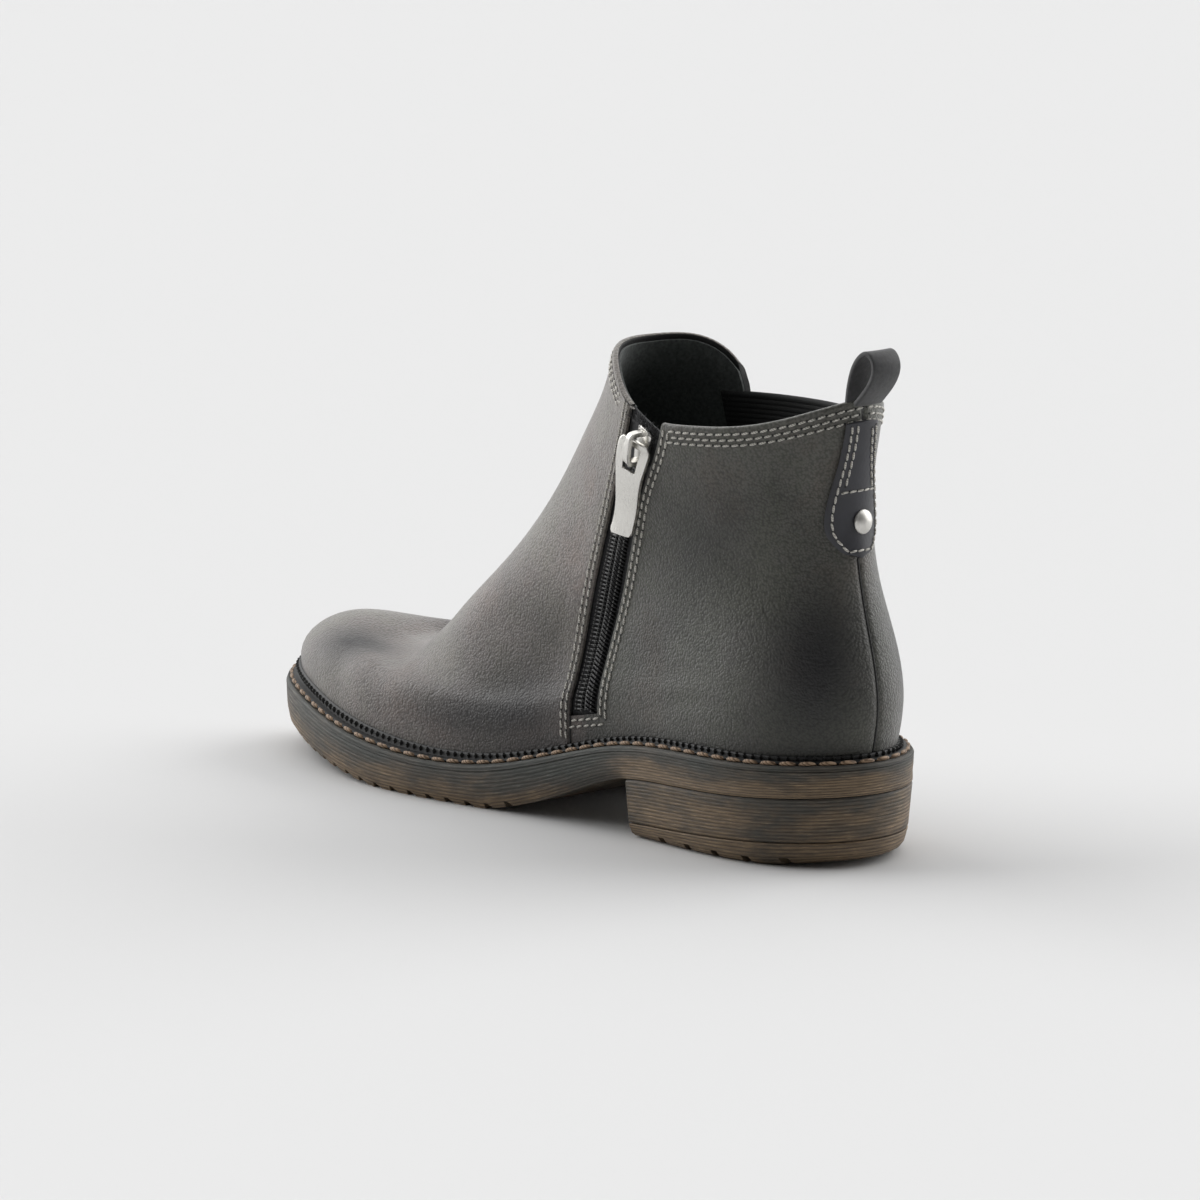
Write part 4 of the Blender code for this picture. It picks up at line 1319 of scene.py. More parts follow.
# Teeth of the welt: pitch, radius at the foot and at the tip, height. Its stitches: pitch, length,
# width, bow outwards, dip at the holes
TOOTH_PITCH, TOOTH_FOOT, TOOTH_TIP, TOOTH_HEIGHT = 2.9, 1.5, 0.3, 1.9
WELT_PITCH, WELT_LENGTH, WELT_WIDTH, WELT_BOW, WELT_DIP = 6.2, 5.8, 1.3, 0.75, 0.25


def welt_ring(level, out, lift):
    ring = spread(round_wall(around, np.full(RING, level), np.zeros(RING)), out)
    if level == 0.0:
        return at_height(ring, sole_top(ring[:, 0]) + lift)
    return ring


def welt_band(rubber):
    rings = [welt_ring(*row) for row in (*WELT_SECTION, WELT_SECTION[0])]
    piece = ringed("welt_band", rings)
    soften(piece, 50.0)
    return dress(piece, "boot", rubber, "welt")


def ring_frames(ring, out, pitch):
    closed = np.concatenate([ring, ring[:1]])
    return line_frames(closed, np.concatenate([out, out[:1]]), pitch)


def welt_teeth(rubber):
    """A row of moulded points standing on the welt, like a rack against the leather."""
    up = np.tile((0.0, 0.0, 1.0), (RING, 1))
    away = unit(spread(feather, 1.0) - feather)
    frames = ring_frames(welt_ring(0.014, 1.0, 0.0), unit(away + 0.6 * up), TOOTH_PITCH)
    bpy.ops.object.select_all(action="DESELECT")
    bpy.ops.mesh.primitive_cone_add(
        vertices=4,
        radius1=TOOTH_FOOT * MM,
        radius2=TOOTH_TIP * MM,
        depth=TOOTH_HEIGHT * MM,
    )
    piece = copies("welt_teeth", bpy.context.object, frames)
    soften(piece, 25.0)
    return dress(piece, "boot", rubber)


def welt_stitching(thread):
    """Heavy lock stitches on the ledge, each bowed outwards between its holes."""
    up = np.tile((0.0, 0.0, 1.0), (RING, 1))
    frames = ring_frames(welt_ring(0.0, 3.2, 0.5), up, WELT_PITCH)
    template = capsule(WELT_LENGTH, WELT_WIDTH, WELT_WIDTH, 10, 12)
    points = read_points(template) / MM
    bow = WELT_BOW * (1 - (points[:, 0] / (WELT_LENGTH / 2)) ** 2) - WELT_DIP
    points[:, 1] -= bow
    points[:, 2] += 0.5 * bow
    template.data.vertices.foreach_set("co", (points * MM).ravel())
    return dress(copies("welt_stitching", template, frames), "boot", thread)


# Upper: creases listed in side view, with their half-width and depth
CREASES = (
    (INSIDE, ((-92.0, 40.0), (-84.0, 32.0), (-80.0, 26.0)), 5.0, 0.7),
    (INSIDE, ((-70.0, 42.0), (-62.0, 33.0), (-58.0, 26.0)), 6.0, 0.5),
    (INSIDE, ((-52.0, 52.0), (-40.0, 42.0), (-30.0, 36.0)), 7.0, 0.5),
    (INSIDE, ((66.0, 44.0), (80.0, 47.0), (96.0, 45.0)), 3.0, 0.45),
    (INSIDE, ((62.0, 52.0), (78.0, 55.0), (92.0, 53.0)), 3.5, 0.4),
    (INSIDE, ((88.0, 96.0), (100.0, 90.0), (112.0, 88.0)), 6.0, 0.6),
    (OUTSIDE, ((-92.0, 40.0), (-84.0, 32.0), (-80.0, 26.0)), 5.0, 0.7),
    (OUTSIDE, ((-66.0, 43.0), (-56.0, 34.0), (-50.0, 26.0)), 6.0, 0.6),
    (OUTSIDE, ((-42.0, 56.0), (-28.0, 46.0), (-14.0, 40.0)), 7.0, 0.5),
    (OUTSIDE, ((90.0, 92.0), (100.0, 86.0), (112.0, 84.0)), 6.0, 0.6),
)
SEAM_HALF, SEAM_DEPTH, SEAM_SHADE, SEAM_FROM = 1.1, 0.55, 0.9, 90.0
# Border between the vamp's leather and the quarter's on the outside: heights, places along the foot
OUTER_BORDER = ((30.0, 69.0, 131.0), (52.0, 62.0, 60.0))


def crease_relief(points):
    """Height added to the leather by its creases and its sunken back seam."""
    height = np.zeros(len(points))
    for side, places, half, depth in CREASES:
        line = drawn_line(places)(np.linspace(0, 1, 40))
        on_wall = side_layer(line[:, 0], line[:, 1], side, np.zeros(40))
        fade = np.sin(np.linspace(0.15, math.pi - 0.15, 40))
        apart = np.linalg.norm(points[:, None, :] - on_wall[None], axis=2)
        height -= depth * (fade * np.exp(-((apart / half) ** 2))).max(axis=1)
    seam = (points[:, 0] > SEAM_FROM) * np.exp(-(((points[:, 1] - seam_middle(points)) / SEAM_HALF) ** 2))
    return height - SEAM_DEPTH * seam


def seam_middle(points):
    """Y of the back seam at the height of each point."""
    level = np.interp(points[:, 2], level_of_height, level_table)
    lean = smooth((level - LEAN_FROM) / (LEAN_TO - LEAN_FROM))
    return (1 - lean) * middle_line(points[:, 0]) + lean * SHAFT_MIDDLE


def blob(points, place, reach):
    """1 at a place, fading over a reach along each axis."""
    return np.exp(-(((points - np.array(place)) / np.array(reach)) ** 2).sum(axis=1))


# Dark places: wax rubbed in at the toe and the counter, and painted shade low on the vamp, round the zip's
# foot and on the inside quarter: strength, middle and reach in millimetres
BURNISH_AND_SHADE_SPOTS = (
    (1.05, (-91.0, -24.0, 40.0), (18.0, 13.0, 11.0)),
    (0.75, (-92.0, 25.0, 39.0), (18.0, 14.0, 11.0)),
    (1.00, (121.0, -15.0, 64.0), (15.0, 15.0, 24.0)),
    (0.80, (117.0, 22.0, 64.0), (15.0, 14.0, 24.0)),
    (0.30, (104.0, -26.0, 42.0), (26.0, 20.0, 14.0)),
    (0.30, (104.0, 28.0, 42.0), (26.0, 20.0, 14.0)),
    (0.30, (84.0, -27.0, 104.0), (24.0, 20.0, 20.0)),
    (0.80, (6.0, -36.0, 36.0), (34.0, 24.0, 20.0)),
    (0.50, (-26.0, -40.0, 27.0), (30.0, 14.0, 10.0)),
    (0.30, (76.0, -27.0, 92.0), (16.0, 16.0, 16.0)),
    (0.28, (70.0, -33.0, 70.0), (26.0, 18.0, 22.0)),
    (0.35, (10.0, -36.0, 64.0), (18.0, 18.0, 12.0)),
)


def burnish_and_painted_shade(points):
    """Share of dark in the leather: rubbed wax at the toe and the counter, and painted shade along the welt
    and on the zip side.
    """
    # Painted shade along the foot of the upper, above the welt
    dark = 0.3 * smooth((sole_top(points[:, 0]) + 9.0 - points[:, 2]) / 8.0)
    for strength, place, reach in BURNISH_AND_SHADE_SPOTS:
        dark = dark + strength * blob(points, place, reach)
    return np.clip(dark, 0, 1)


def zip_cutter():
    """The zip's slot, with its foot rising towards the heel."""
    far = zip_length + 40.0
    front_along = np.linspace(-SLOT_FOOT_RISE, far, 40)
    back_along = np.linspace(SLOT_FOOT_RISE, far, 40)
    front = zip_place(front_along, -slot_half(front_along))
    back = zip_place(back_along, slot_back(back_along))
    return prism("zip_cutter", np.concatenate([back[::-1], front]).tolist(), -90.0, -4.0)


def gore_cutter():
    return prism("gore_cutter", GORE_OUTLINE, 4.0, 90.0)


def cut_openings(piece, edge):
    """Cuts the zip's slot and the gore's window; their walls take the edge material, in slot 1."""
    for cutter in (zip_cutter(), gore_cutter()):
        cutter.data.materials.append(edge)
        cutter.data.materials.append(edge)
        cutter.data.polygons.foreach_set("material_index", np.ones(len(cutter.data.polygons), int))
        cut_out(piece, cutter)


def leather_upper(leather, edge):
    columns, rows = 400, 88

    def place(u, v):
        flat = round_wall(u, v, np.zeros_like(u))
        return round_wall(u, v, -crease_relief(flat))

    piece = draped("leather_upper", columns, rows, place)
    merge_points(piece)
    piece.data.materials.append(leather)
    piece.data.materials.append(edge)
    thicken(piece, WALL, edge_slot=1, rim_slot=0)
    round_edges(piece, 0.8, segments=3, angle=60.0)
    cut_openings(piece, edge)
    soften(piece, 40.0)
    points = maker_points(piece)
    inside = points[:, 1] < 0
    border = np.where(
        inside,
        np.interp(points[:, 2], *np.transpose(zip_line(np.linspace(0, 1, 40)))[::-1]),
        np.interp(points[:, 2], *OUTER_BORDER),
    )
    # The vamp in front of the zip and of the outer border is lighter: partly its own tone, partly painted
    # light
    paint(piece, "vamp_tone_and_painted_light", smooth((border + 1.0 - points[:, 0]) / 2.0))
    # Rubbed wax at toe and counter, and painted shade on the zip side and along the welt
    paint(piece, "burnish_and_painted_shade", burnish_and_painted_shade(points))
    seam = np.exp(-(((points[:, 1] - seam_middle(points)) / (SEAM_HALF / 2)) ** 4))
    paint(piece, "seam", SEAM_SHADE * seam * (points[:, 0] > SEAM_FROM))
    return dress(piece, "boot", leather, "upper")


# Lining: levels of the wall where it starts and that it covers, gap to the leather, thickness
LINING_FOOT, LINING_SPAN, LINING_GAP, LINING_THICK = 0.05, 0.942, 0.15, 0.7


def lining(cloth):
    def place(u, v):
        level = LINING_FOOT + LINING_SPAN * v
        return round_wall(u, level, np.full_like(u, WALL + LINING_GAP))

    piece = draped("lining", 220, 50, place)
    merge_points(piece)
    thicken(piece, LINING_THICK)
    piece.data.materials.append(cloth)
    cut_openings(piece, cloth)
    soften(piece, 40.0)
    return dress(piece, "boot", cloth)


def gore_panel(elastic):
    heights, fronts, backs = np.transpose(GORE_PANEL)

    def place(u, v):
        z = heights[0] + (heights[-1] - heights[0]) * v
        front, back = np.interp(z, heights, fronts), np.interp(z, heights, backs)
        depth = WALL + BACK_GAP - RIB_HEIGHT + RIB_HEIGHT * np.cos(2 * math.pi * z / RIB_PITCH)
        return side_layer(front + u * (back - front), z, OUTSIDE, depth)

    piece = draped("gore_elastic", 20, 250, place)
    face_outwards(piece)
    thicken(piece, GORE_THICK)
    soften(piece, 60.0)
    return dress(piece, "boot", elastic, "gore")


# Zip

def zip_tape(cloth):
    def place(u, v):
        along = -TAPE_OVER + v * (zip_length - TAPE_SHORT + TAPE_OVER)
        return zip_layer(along, (u - 0.5) * TAPE_WIDTH, np.full_like(u, TAPE_DEPTH))

    piece = draped("zip_tape_weave", 24, 110, place)
    face_outwards(piece)
    thicken(piece, TAPE_THICK)
    soften(piece, 60.0)
    return dress(piece, "boot", cloth, "zip_tape")


def zip_frames(along, across, depth, turn):
    """Frames on the zip: X across it, turned by an angle, and Z out of it."""
    place = zip_layer(along, across, depth)
    ahead = zip_layer(along + 0.5, across, depth)
    out = unit(place - zip_layer(along, across, depth + 1.0))
    way = unit(ahead - place)
    way = unit(way - (way * out).sum(axis=-1, keepdims=True) * out)
    side = np.cross(way, out)
    turn = np.reshape(turn, (-1, 1))
    first = np.cos(turn) * side + np.sin(turn) * way
    return place, np.stack([first, np.cross(out, first), out], axis=1)


def zip_coil(nylon):
    """Turns of the closed coil: two columns of slanting loops that mesh in the middle."""
    slant, off = math.radians(14), 2.0
    every = np.ones_like(chain)
    front = zip_frames(chain, -off * every, COIL_DEPTH * every, slant * every)
    back = zip_frames(chain + COIL_PITCH / 2, off * every, COIL_DEPTH * every, -slant * every)
    piece = copies("zip_coil_turns", capsule(4.8, 1.12, 1.7, 8, 6), join_frames((front, back)))
    return dress(piece, "boot", nylon, "zip_coil")


def zip_sewing(thread):
    """Chain stitches that hold the coil to its tape, two rows on each column; their light grey also stands
    in as painted glints along the coil.
    """
    every = np.ones_like(chain)
    rows = []
    for across in (-3.2, -0.9, 0.9, 3.2):
        shift = COIL_PITCH / 2 if across > 0 else 0.0
        turn = math.radians(75 if across > 0 else 105)
        rows.append(zip_frames(chain + shift, across * every, (COIL_DEPTH - 0.85) * every, turn * every))
    piece = copies("zip_sewing", capsule(1.0, 0.4, 0.35), join_frames(rows))
    return dress(piece, "boot", thread)


FRAY_SEED, FRAY_COUNT, FRAY_LENGTH, FRAY_WIDTH = 4, 90, 3.2, 0.22


def frayed_ends(thread):
    """Loose fibres where the zip's tape ends under the collar."""
    dice = np.random.default_rng(FRAY_SEED)
    count = FRAY_COUNT
    along = zip_length + dice.uniform(-2.4, 0.6, count)
    across = dice.uniform(-1.0, 1.0, count) * (slot_half(zip_length) + 1.0)
    place, axes = zip_frames(along, across, dice.uniform(-0.6, 1.4, count), dice.uniform(0, math.pi, count))
    tilt = dice.uniform(-0.7, 0.7, count)[:, None]
    first = np.cos(tilt) * axes[:, 0] + np.sin(tilt) * axes[:, 2]
    out = np.cos(tilt) * axes[:, 2] - np.sin(tilt) * axes[:, 0]
    frames = place, np.stack([first, axes[:, 1], out], axis=1)
    fibre = capsule(FRAY_LENGTH, FRAY_WIDTH, FRAY_WIDTH, 6, 4)
    return dress(copies("frayed_ends", fibre, frames), "boot", thread)


# Slider body: distance along the zip from its seat, half-width
SLIDER_OUTLINE = ((-6.5, 3.4), (-5.0, 3.7), (-1.0, 3.7), (2.0, 3.7), (3.8, 3.9), (4.9, 3.4), (5.2, 2.6))
SLIDER_DOME, SLIDER_THICK = 0.6, 2.6
# Bridge over the pull: distance along the zip from the slider's seat, height out of it
BRIDGE_ARCH = (
    (-7.2, 0.2),
    (-7.2, 3.1),
    (-6.8, 4.6),
    (-5.7, 5.3),
    (2.0, 5.9),
    (3.5, 5.5),
    (4.2, 4.2),
    (4.3, 0.2),
)
BRIDGE_HALF, BRIDGE_TAPER, BRIDGE_THICK = 1.5, 0.6, 1.5


def zip_slider(metal):
    """Slider body, nearly straight-sided, and the arched bridge that carries the pull."""
    across_way = np.cross(seat_out, seat_along)
    shape = drawn_line(SLIDER_OUTLINE)

    def body_place(u, v):
        spot = shape(v)
        across = (2 * u - 1) * spot[:, 1]
        out = SLIDER_DOME - SLIDER_DOME * np.abs(2 * u - 1) ** 3
        place = seat + ASIDE + across[:, None] * across_way + spot[:, :1] * seat_along
        return place + out[:, None] * seat_out

    body = draped("slider_body", 12, 20, body_place)
    face_outwards(body)
    arch = drawn_line(BRIDGE_ARCH)

    def bridge_place(u, v):
        spot = arch(v)
        across = (2 * u - 1) * (BRIDGE_HALF - BRIDGE_TAPER * smooth((spot[:, 0] + 3.0) / 5.0))
        place = seat + ASIDE + across[:, None] * across_way + spot[:, :1] * seat_along
        return place + spot[:, 1:] * seat_out

    bridge = draped("slider_bridge", 6, 36, bridge_place)
    face_outwards(bridge)
    for piece, thick in ((body, SLIDER_THICK), (bridge, BRIDGE_THICK)):
        outward = maker_points(piece)
        normals = np.array([tuple(vertex.normal) for vertex in piece.data.vertices])
        if (normals * (outward - seat)).sum() < 0:
            edit_all(piece, bpy.ops.mesh.flip_normals)
        thicken(piece, thick)
        round_edges(piece, 0.35, segments=2, angle=45.0)
    piece = joined("zip_slider_cast", [body, bridge])
    soften(piece, 50.0)
    return dress(piece, "boot", metal, "zip_slider")


# Outline of the pull: distance down from the hinge, half-width
PULL_OUTLINE = (
    (-0.7, 5.2),
    (0.2, 6.0),
    (1.2, 6.4),
    (3.0, 6.5),
    (7.5, 6.0),
    (12.0, 5.3),
    (18.0, 4.8),
    (25.0, 4.4),
    (29.5, 4.4),
    (31.2, 4.2),
    (32.0, 3.6),
)
# Window of the pull: half-width, top and foot as distances down from the hinge
PULL_WINDOW = (3.0, 1.2, 9.1)
# Faces of the pull: bow of its S, crown across it, lift of its foot, skew of its foot
PULL_BOW, PULL_CROWN, PULL_LIFT, PULL_SKEW = 0.9, 0.25, 0.6, 0.22
# The pull hangs loosely: turned towards the vertical in its plane, and rolled towards the vamp
PULL_SWAY, PULL_ROLL = math.radians(3.5), math.radians(14)
# The cast slider and pull sit a little further back along the hinge's own line than in the CAD
ASIDE = 2.0 * np.array((0.876, -0.117, -0.468))


def zip_pull(metal):
    """Cast pull: a wide yoke with a window round the bridge, tapering to a rounded foot, bowed in an S."""
    end = zip_layer(slider_at - PULL_LENGTH, 0.0, -PULL_CLEAR)
    up_way = unit(pivot - end)
    out_way = unit(seat_out - (seat_out @ up_way) * up_way)
    up_way = math.cos(PULL_SWAY) * up_way + math.sin(PULL_SWAY) * np.cross(out_way, up_way)
    out_way = math.cos(PULL_ROLL) * out_way - math.sin(PULL_ROLL) * np.cross(out_way, up_way)
    across_way = np.cross(out_way, up_way)
    down_by, halves = np.transpose(PULL_OUTLINE)
    half_width = spline(down_by, halves)

    def place(u, v):
        down = down_by[0] + v * (down_by[-1] - down_by[0])
        across = (2 * u - 1) * half_width(down)
        out = PULL_BOW * np.sin(2 * math.pi * np.clip(down, 0, None) / PULL_LENGTH)
        out = out - PULL_CROWN * np.abs(2 * u - 1) ** 2 + PULL_LIFT * smooth((down - 6.0) / 14.0)
        down = down + PULL_SKEW * across * smooth((down - 20.0) / 10.0)
        spots = pivot + ASIDE + across[:, None] * across_way - down[:, None] * up_way
        return spots + out[:, None] * out_way

    piece = draped("zip_pull_cast", 19, 66, place)
    select_only(piece)
    bpy.ops.object.mode_set(mode="EDIT")
    bpy.ops.mesh.select_mode(type="FACE")
    bpy.ops.mesh.select_all(action="DESELECT")
    bpy.ops.object.mode_set(mode="OBJECT")
    middles = np.array([tuple(face.center) for face in piece.data.polygons]) / MM - SHIFT - pivot - ASIDE
    half, top, foot = PULL_WINDOW
    down = -middles @ up_way
    window = (np.abs(middles @ across_way) < half) & (down > top) & (down < foot)
    piece.data.polygons.foreach_set("select", window)
    bpy.ops.object.mode_set(mode="EDIT")
    bpy.ops.mesh.delete(type="FACE")
    bpy.ops.object.mode_set(mode="OBJECT")
    thicken(piece, PULL_THICK, 0.0)
    face_outwards(piece)
    round_edges(piece, 0.4, segments=3, angle=45.0)
    soften(piece, 40.0)
    return dress(piece, "zip_pull", metal, "zip_pull")


# Section of the vamp's folded edge: distance in front of the slot, depth under the leather's face
VAMP_SECTION = (
    (0.0, 0.7),
    (0.0, -0.1),
    (0.25, -0.32),
    (0.8, -0.42),
    (2.0, -0.42),
    (4.0, -0.36),
    (7.0, -0.2),
    (10.0, -0.05),
    (12.5, 0.08),
    (14.0, 0.3),
)
VAMP_FOOT, VAMP_LENGTH = -11.5, zip_length + 18.0


def vamp_edge(leather):
    """Folded edge of the vamp along the front of the zip, from the welt to the collar."""
    section = np.array(VAMP_SECTION)

    def place(u, v):
        spot = np.rint(u * (len(section) - 1)).astype(int)
        along = VAMP_FOOT + v * VAMP_LENGTH
        places = zip_place(along, -slot_half(along) - section[spot, 0] + 0.1)
        ground = sole_top(places[:, 0]) + 1.2
        high = collar_height[INSIDE](places[:, 0]) - 0.5
        return side_layer(places[:, 0], np.clip(places[:, 1], ground, high), INSIDE, section[spot, 1])

    piece = draped("vamp_edge", len(section) - 1, 200, place)
    soften(piece, 40.0)
    points = maker_points(piece)
    # The vamp's edge takes the vamp's lighter tone, which is partly painted light
    paint(piece, "vamp_tone_and_painted_light", np.ones(len(points)))
    # Rubbed wax and painted shade, as on the rest of the upper
    paint(piece, "burnish_and_painted_shade", burnish_and_painted_shade(points))
    paint(piece, "seam", np.zeros(len(points)))
    return dress(piece, "boot", leather)


# Stitching

STITCH_PITCH, STITCH_LENGTH, STITCH_WIDTH = 3.1, 2.5, 0.75
ROW_STEP, ROW_HEIGHT = 0.8, 0.15
# Distances of the rows from the edges that they follow; in front of the zip also their height
ZIP_FRONT_ROWS = ((1.0, 0.55), (3.0, 0.5))
ZIP_BACK_ROWS, COLLAR_ROWS, GORE_ROWS = (1.5, 3.6), (2.1, 3.9, 5.6), (2.0, 4.2)
# Ends of the collar's rows and of the flap's, by their x on each side
COLLAR_FRONTS, COLLAR_BACK = {INSIDE: 70.2, OUTSIDE: 93.0}, 124.0
FLAP_BACKS = {INSIDE: 46.0, OUTSIDE: 35.0}


def fine_steps(places):
    """Two columns of a line through places, again in short even steps."""
    length = distances(places)
    wanted = np.linspace(0, length[-1], int(length[-1] / ROW_STEP) + 2)
    return places_at(wanted, length, places).T


def side_row(places, side, height, start=0.0, pitch=STITCH_PITCH):
    """Line of stitches on one side's wall through places in side view, at a height above it."""
    x, z = fine_steps(places)
    theta, level = find_on_upper(x, z, side)
    points = upper_layer(theta, level, side, np.full_like(x, -height))
    return line_frames(points, upper_normal(theta, level, side), pitch, start)


def beside(places, distance):
    """The line of places in side view moved to its left by a distance."""
    places = np.asarray(places, float)
    way = unit(np.gradient(places, axis=0))
    return places + distance * np.stack([-way[:, 1], way[:, 0]], axis=-1)


def collar_row(start, end, side, off):
    """Row below the collar's edge from one x to another."""
    x = np.linspace(start, end, 60)
    places = beside(np.stack([x, collar_height[side](x)], axis=-1), -off)
    return side_row(places, side, ROW_HEIGHT, (off * 0.6) % STITCH_PITCH)


def flap_row(off):
    """Row below the edge of the front flap, from the zip round to the gore."""
    count = 900
    share = np.linspace(0, 1, count)
    zero = np.zeros(count)
    high = round_wall(share, zero + 1.0, zero)
    low = round_wall(share, zero + 0.9, zero)
    level = 1.0 - 0.1 * off / np.linalg.norm(high - low, axis=1)
    points = round_wall(share, level, zero - ROW_HEIGHT)
    normals = unit(points - round_wall(share, level, zero + 1.0))
    on_flap = high[:, 0] < np.where(high[:, 1] < SHAFT_MIDDLE, FLAP_BACKS[INSIDE], FLAP_BACKS[OUTSIDE])
    if on_flap[0]:
        rolled = (np.roll(table, count // 2, axis=0) for table in (points, normals, on_flap))
        points, normals, on_flap = rolled
    return line_frames(points[on_flap], normals[on_flap], STITCH_PITCH, (off * 0.6) % STITCH_PITCH)


def stitch_rows():
    rows = []
    along = np.linspace(-9.5, zip_length + 4.0, 80)
    for off, high in ZIP_FRONT_ROWS:
        rows.append(side_row(zip_place(along, -slot_half(along) - off), INSIDE, high))
    for off in ZIP_BACK_ROWS:
        along = np.linspace(SLOT_FOOT_RISE - off + 0.6, zip_length + 3.5, 80)
        down = zip_place(along, slot_back(along) + off)[::-1]
        across = np.linspace(slot_half(0.0) + off - 0.5, -slot_half(0.0), 14)
        rise = SLOT_FOOT_RISE * across / slot_half(0.0)
        rows.append(side_row(down, INSIDE, ROW_HEIGHT))
        rows.append(side_row(zip_place(rise - off, across), INSIDE, ROW_HEIGHT))
    for off in COLLAR_ROWS:
        rows.append(collar_row(COLLAR_FRONTS[INSIDE], COLLAR_BACK, INSIDE, off))
        rows.append(collar_row(COLLAR_FRONTS[OUTSIDE], COLLAR_BACK, OUTSIDE, off))
        rows.append(flap_row(off))
    edge = drawn_line(GORE_OUTLINE[4:-1])(np.linspace(0, 1, 120))
    for off in GORE_ROWS:
        rows.append(side_row(beside(edge, -off), OUTSIDE, ROW_HEIGHT))
    return rows


# The tab's top end is sewn in under the collar's rows. Its rows: points on a side, ends, insets
TAB_TOP = 137.2
TAB_STEPS, ROW_TOP, ROW_FOOT, BOX_FOOT = 70, TAB_TOP - 0.8, 96.6, 116.0
OUTER_INSET, INNER_INSET = 1.6, 3.2
tab_half = spline([-row[0] for row in HEEL_TAB], [row[1] for row in HEEL_TAB])


def tab_line(inset, top, bottom):
    """Rows round the heel tab: across and height, down the inside and up the outside."""
    high = np.linspace(top, bottom, TAB_STEPS)
    half = np.clip(tab_half(-high) - inset, 0.4, None)
    return np.concatenate([np.stack([-half, high], axis=-1), np.stack([half, high], axis=-1)[::-1]])


def tab_row(places):
    across, high = fine_steps(places)
    depth = np.full_like(across, -(GAP + TAB_THICK + 0.1))
    points = back_layer(across, high, depth)
    normals = unit(points - back_layer(across, high, depth + 1.0))
    return line_frames(points, normals, STITCH_PITCH * 0.9)


def upper_stitching(thread, dark):
    rows = stitch_rows()
    inner = tab_line(INNER_INSET, ROW_TOP, BOX_FOOT)
    rows.append(tab_row(tab_line(OUTER_INSET, ROW_TOP, ROW_FOOT)))
    rows.append(tab_row(inner[:TAB_STEPS]))
    rows.append(tab_row(inner[TAB_STEPS:]))
    rows.append(tab_row(((-5.6, 115.4), (5.6, 115.4))))
    place, axes = join_frames(rows)
    holes = place + axes[:, 0] * STITCH_PITCH / 2 - axes[:, 2] * 0.15
    tilt = math.radians(7)
    along = math.cos(tilt) * axes[:, 0] + math.sin(tilt) * axes[:, 1]
    tilted = np.stack([along, np.cross(axes[:, 2], along), axes[:, 2]], axis=1)
    sewn = copies("upper_stitching", capsule(STITCH_LENGTH, STITCH_WIDTH, 0.75), (place, tilted))
    dress(sewn, "boot", thread)
    # Dark dots at the needle holes between stitches: painted shade in the holes
    hole_shade = copies("needle_hole_shade", capsule(0.8, 0.85, 0.3), (holes, axes))
    dress(hole_shade, "boot", dark)
    seams = copies("sunken_seams", capsule(2.4, 0.6, 0.5), join_frames(sunken_seams()))
    dress(seams, "boot", dark)


def sunken_seams():
    """Dark closed seams: down the back, and from the slot's foot and the gore's foot to the welt."""
    high = np.linspace(94.0, 27.0, 90)
    zero = np.zeros(90)
    points = back_layer(zero, high, zero + SEAM_DEPTH - 0.15)
    normals = unit(points - back_layer(zero, high, zero + SEAM_DEPTH + 1.0))
    along = np.linspace(-12.0, -1.0, 14)
    foot = side_row(zip_place(along, np.full(14, 0.4 - slot_half(0.0))), INSIDE, 0.1, pitch=1.7)
    under_gore = side_row(((52.0, 26.0), (54.5, 40.0), (61.6, 67.0)), OUTSIDE, 0.1, pitch=1.7)
    return line_frames(points, normals, 1.9), foot, under_gore


# Heel tab, rivet and pull loop

def heel_tab(leather):
    top, bottom = TAB_TOP, HEEL_TAB[-1][0] - 0.5

    def place(u, v):
        high = top + v * (bottom - top)
        half = tab_half(-high) * np.sqrt(np.clip((high - bottom + 0.02) / 1.4, 0, 1))
        depth = -(GAP + TAB_THICK - 0.5 * np.abs(2 * u - 1) ** 8)
        return back_layer((2 * u - 1) * half + 1e-4, high, depth)

    piece = draped("heel_tab_strip", 24, 80, place)
    face_outwards(piece)
    thicken(piece, TAB_THICK)
    round_edges(piece, 0.35, segments=2, angle=50.0)
    soften(piece, 45.0)
    return dress(piece, "boot", leather, "heel_tab")


# Section of the rivet's cap: radius, height above the tab
RIVET_SECTION = (
    (0.0, -0.3),
    (3.5, -0.3),
    (3.8, 0.1),
    (3.75, 0.5),
    (3.45, 0.7),
    (3.1, 1.0),
    (2.6, 1.45),
    (2.0, 1.85),
    (1.3, 2.15),
    (0.6, 2.3),
    (0.0, 2.32),
)


def tab_rivet(metal):
    """Domed rivet cap with a thin rolled rim."""
    aside, high = np.full(1, RIVET_ASIDE), np.full(1, RIVET_HEIGHT)
    base = back_layer(aside, high, np.full(1, -(GAP + TAB_THICK)))[0]
    out = unit(base - back_layer(aside, high, np.full(1, 1.0))[0])
    side = unit(np.cross((0.0, 0.0, 1.0), out))
    up = np.cross(out, side)
    turn = np.linspace(0, 2 * math.pi, 36, endpoint=False)[:, None]
    rings = [base + r * (np.cos(turn) * side + np.sin(turn) * up) + h * out for r, h in RIVET_SECTION]
    piece = ringed("rivet_cap", rings)
    soften(piece, 50.0)
    return dress(piece, "boot", metal, "tab_rivet")


def pull_loop(leather):
    line = drawn_line(PULL_LOOP)

    def place(u, v):
        spot = line(v)
        across = (u - 0.5) * LOOP_WIDTH
        x = spot[:, 0] - across**2 / (2 * LOOP_BEND)
        return np.stack([x, SHAFT_MIDDLE + across, spot[:, 1]], axis=-1)

    piece = draped("pull_loop_strap", 12, 100, place)
    thicken(piece, LOOP_THICK, 0.0)
    face_outwards(piece)
    round_edges(piece, 0.4, segments=2, angle=50.0)
    soften(piece, 50.0)
    return dress(piece, "boot", leather, "pull_loop")


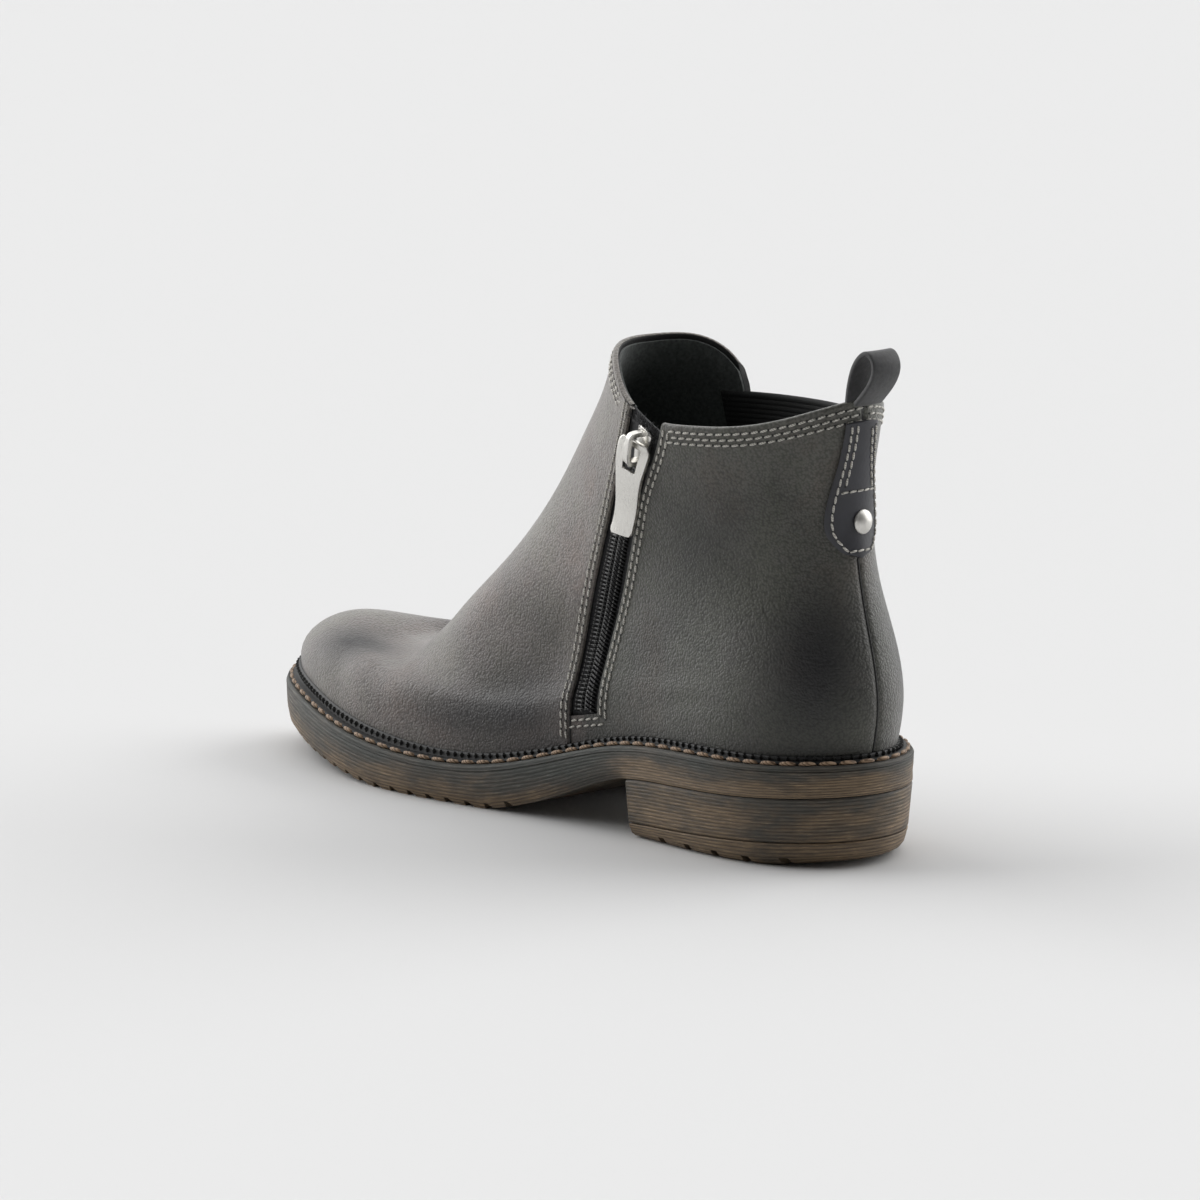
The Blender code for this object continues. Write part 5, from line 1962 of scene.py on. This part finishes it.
# Studio

FLOOR_SIZE = 14.0
CAMERA_TURN, CAMERA_LIFT = math.radians(49.85), math.radians(11.1)
CAMERA_AWAY, CAMERA_TARGET = 3175.0, (1.12, 0.0, 63.1)
CAMERA_SENSOR, CAMERA_LENS, CAMERA_REACH = 36.0, 303.45, 30.0
# Wide suns stand for softboxes: the way to each from the boot (right, away and up as the camera
# sees it), strength and width in degrees
LAMPS = (
    ("key_left", (-0.80, 0.40, 0.46), 2.1, 60.0),
    ("rim_right", (0.86, 0.34, 0.40), 1.9, 60.0),
    ("top_back", (0.00, 0.40, 0.92), 0.8, 70.0),
)


def studio():
    bpy.ops.object.select_all(action="DESELECT")
    bpy.ops.mesh.primitive_plane_add(size=FLOOR_SIZE)
    floor = bpy.context.object
    floor.name = "studio_floor"
    floor.data.materials.append(studio_paper())
    world = bpy.data.worlds.new("studio_air")
    bpy.context.scene.world = world
    world.use_nodes = True
    world.node_tree.nodes["Background"].inputs["Color"].default_value = (1.0, 1.0, 1.0, 1.0)
    tree = world.node_tree
    heading = add(tree, "ShaderNodeTexCoord").outputs["Generated"]
    away = (-math.sin(CAMERA_TURN), math.cos(CAMERA_TURN), 0.25)
    facing = add(tree, "ShaderNodeVectorMath", {0: heading, 1: away}, operation="DOT_PRODUCT")
    glow = add(
        tree,
        "ShaderNodeMapRange",
        {
            "Value": facing.outputs["Value"],
            "From Min": -0.2,
            "From Max": 0.9,
            "To Min": 0.08,
            "To Max": 0.85,
        },
        interpolation_type="SMOOTHSTEP",
    )
    tree.links.new(glow.outputs["Result"], tree.nodes["Background"].inputs["Strength"])
    right = Vector((math.cos(CAMERA_TURN), math.sin(CAMERA_TURN), 0.0))
    away = Vector((-math.sin(CAMERA_TURN), math.cos(CAMERA_TURN), 0.0))
    for name, (x, y, z), strength, width in LAMPS:
        bpy.ops.object.light_add(type="SUN", location=(0.0, 0.0, 2.0))
        lamp = bpy.context.object
        lamp.name = name
        lamp.data.energy = strength
        lamp.data.angle = math.radians(width)
        toward = x * right + y * away + Vector((0.0, 0.0, z))
        lamp.rotation_euler = toward.to_track_quat("Z", "Y").to_euler()


def photo_camera():
    turn, lift = CAMERA_TURN, CAMERA_LIFT
    target = np.array(CAMERA_TARGET) + SHIFT
    back = np.array((math.sin(turn) * math.cos(lift), -math.cos(turn) * math.cos(lift), math.sin(lift)))
    bpy.ops.object.camera_add(location=(target + CAMERA_AWAY * back) * MM)
    camera = bpy.context.object
    camera.rotation_euler = Vector(back).to_track_quat("Z", "Y").to_euler()
    camera.data.sensor_width = CAMERA_SENSOR
    camera.data.lens = CAMERA_LENS
    camera.data.clip_end = CAMERA_REACH
    bpy.context.scene.camera = camera
    bpy.context.scene.view_settings.view_transform = "Standard"


def main():
    leather, rubber, black = pebbled_leather(), striated_rubber(), black_rubber()
    cloth, thread = lining_cloth(), twisted_thread("grey_thread", "#d6d3cb", "#9b978f", 0.6)
    nickel = satin_nickel("satin_nickel", 0.28)
    leather_upper(leather, dyed_edge())
    lining(cloth)
    vamp_edge(leather)
    gore_panel(elastic_cloth())
    tape = woven_tape()
    zip_tape(tape)
    frayed_ends(tape)
    zip_coil(nylon_coil())
    # Grey thread for the coil's sewing, lightened to give painted glints along the coil
    zip_sewing(twisted_thread("black_thread", "#6a6a68", "#303030", 0.6))
    zip_slider(nickel)
    zip_pull(nickel)
    heel_tab(tab_leather())
    tab_rivet(satin_nickel("brushed_rivet", 0.5))
    pull_loop(loop_leather())
    upper_stitching(thread, black)
    outsole(rubber)
    heel_block(rubber)
    heel_lift(rubber)
    welt_band(black)
    welt_teeth(black)
    welt_stitching(twisted_thread("tan_thread", "#a58a6f", "#6a523c", 0.9))
    insole = frame["nodes"]["insole"]
    insole.data.materials.clear()
    insole.data.materials.append(cloth)
    studio()
    photo_camera()


main()
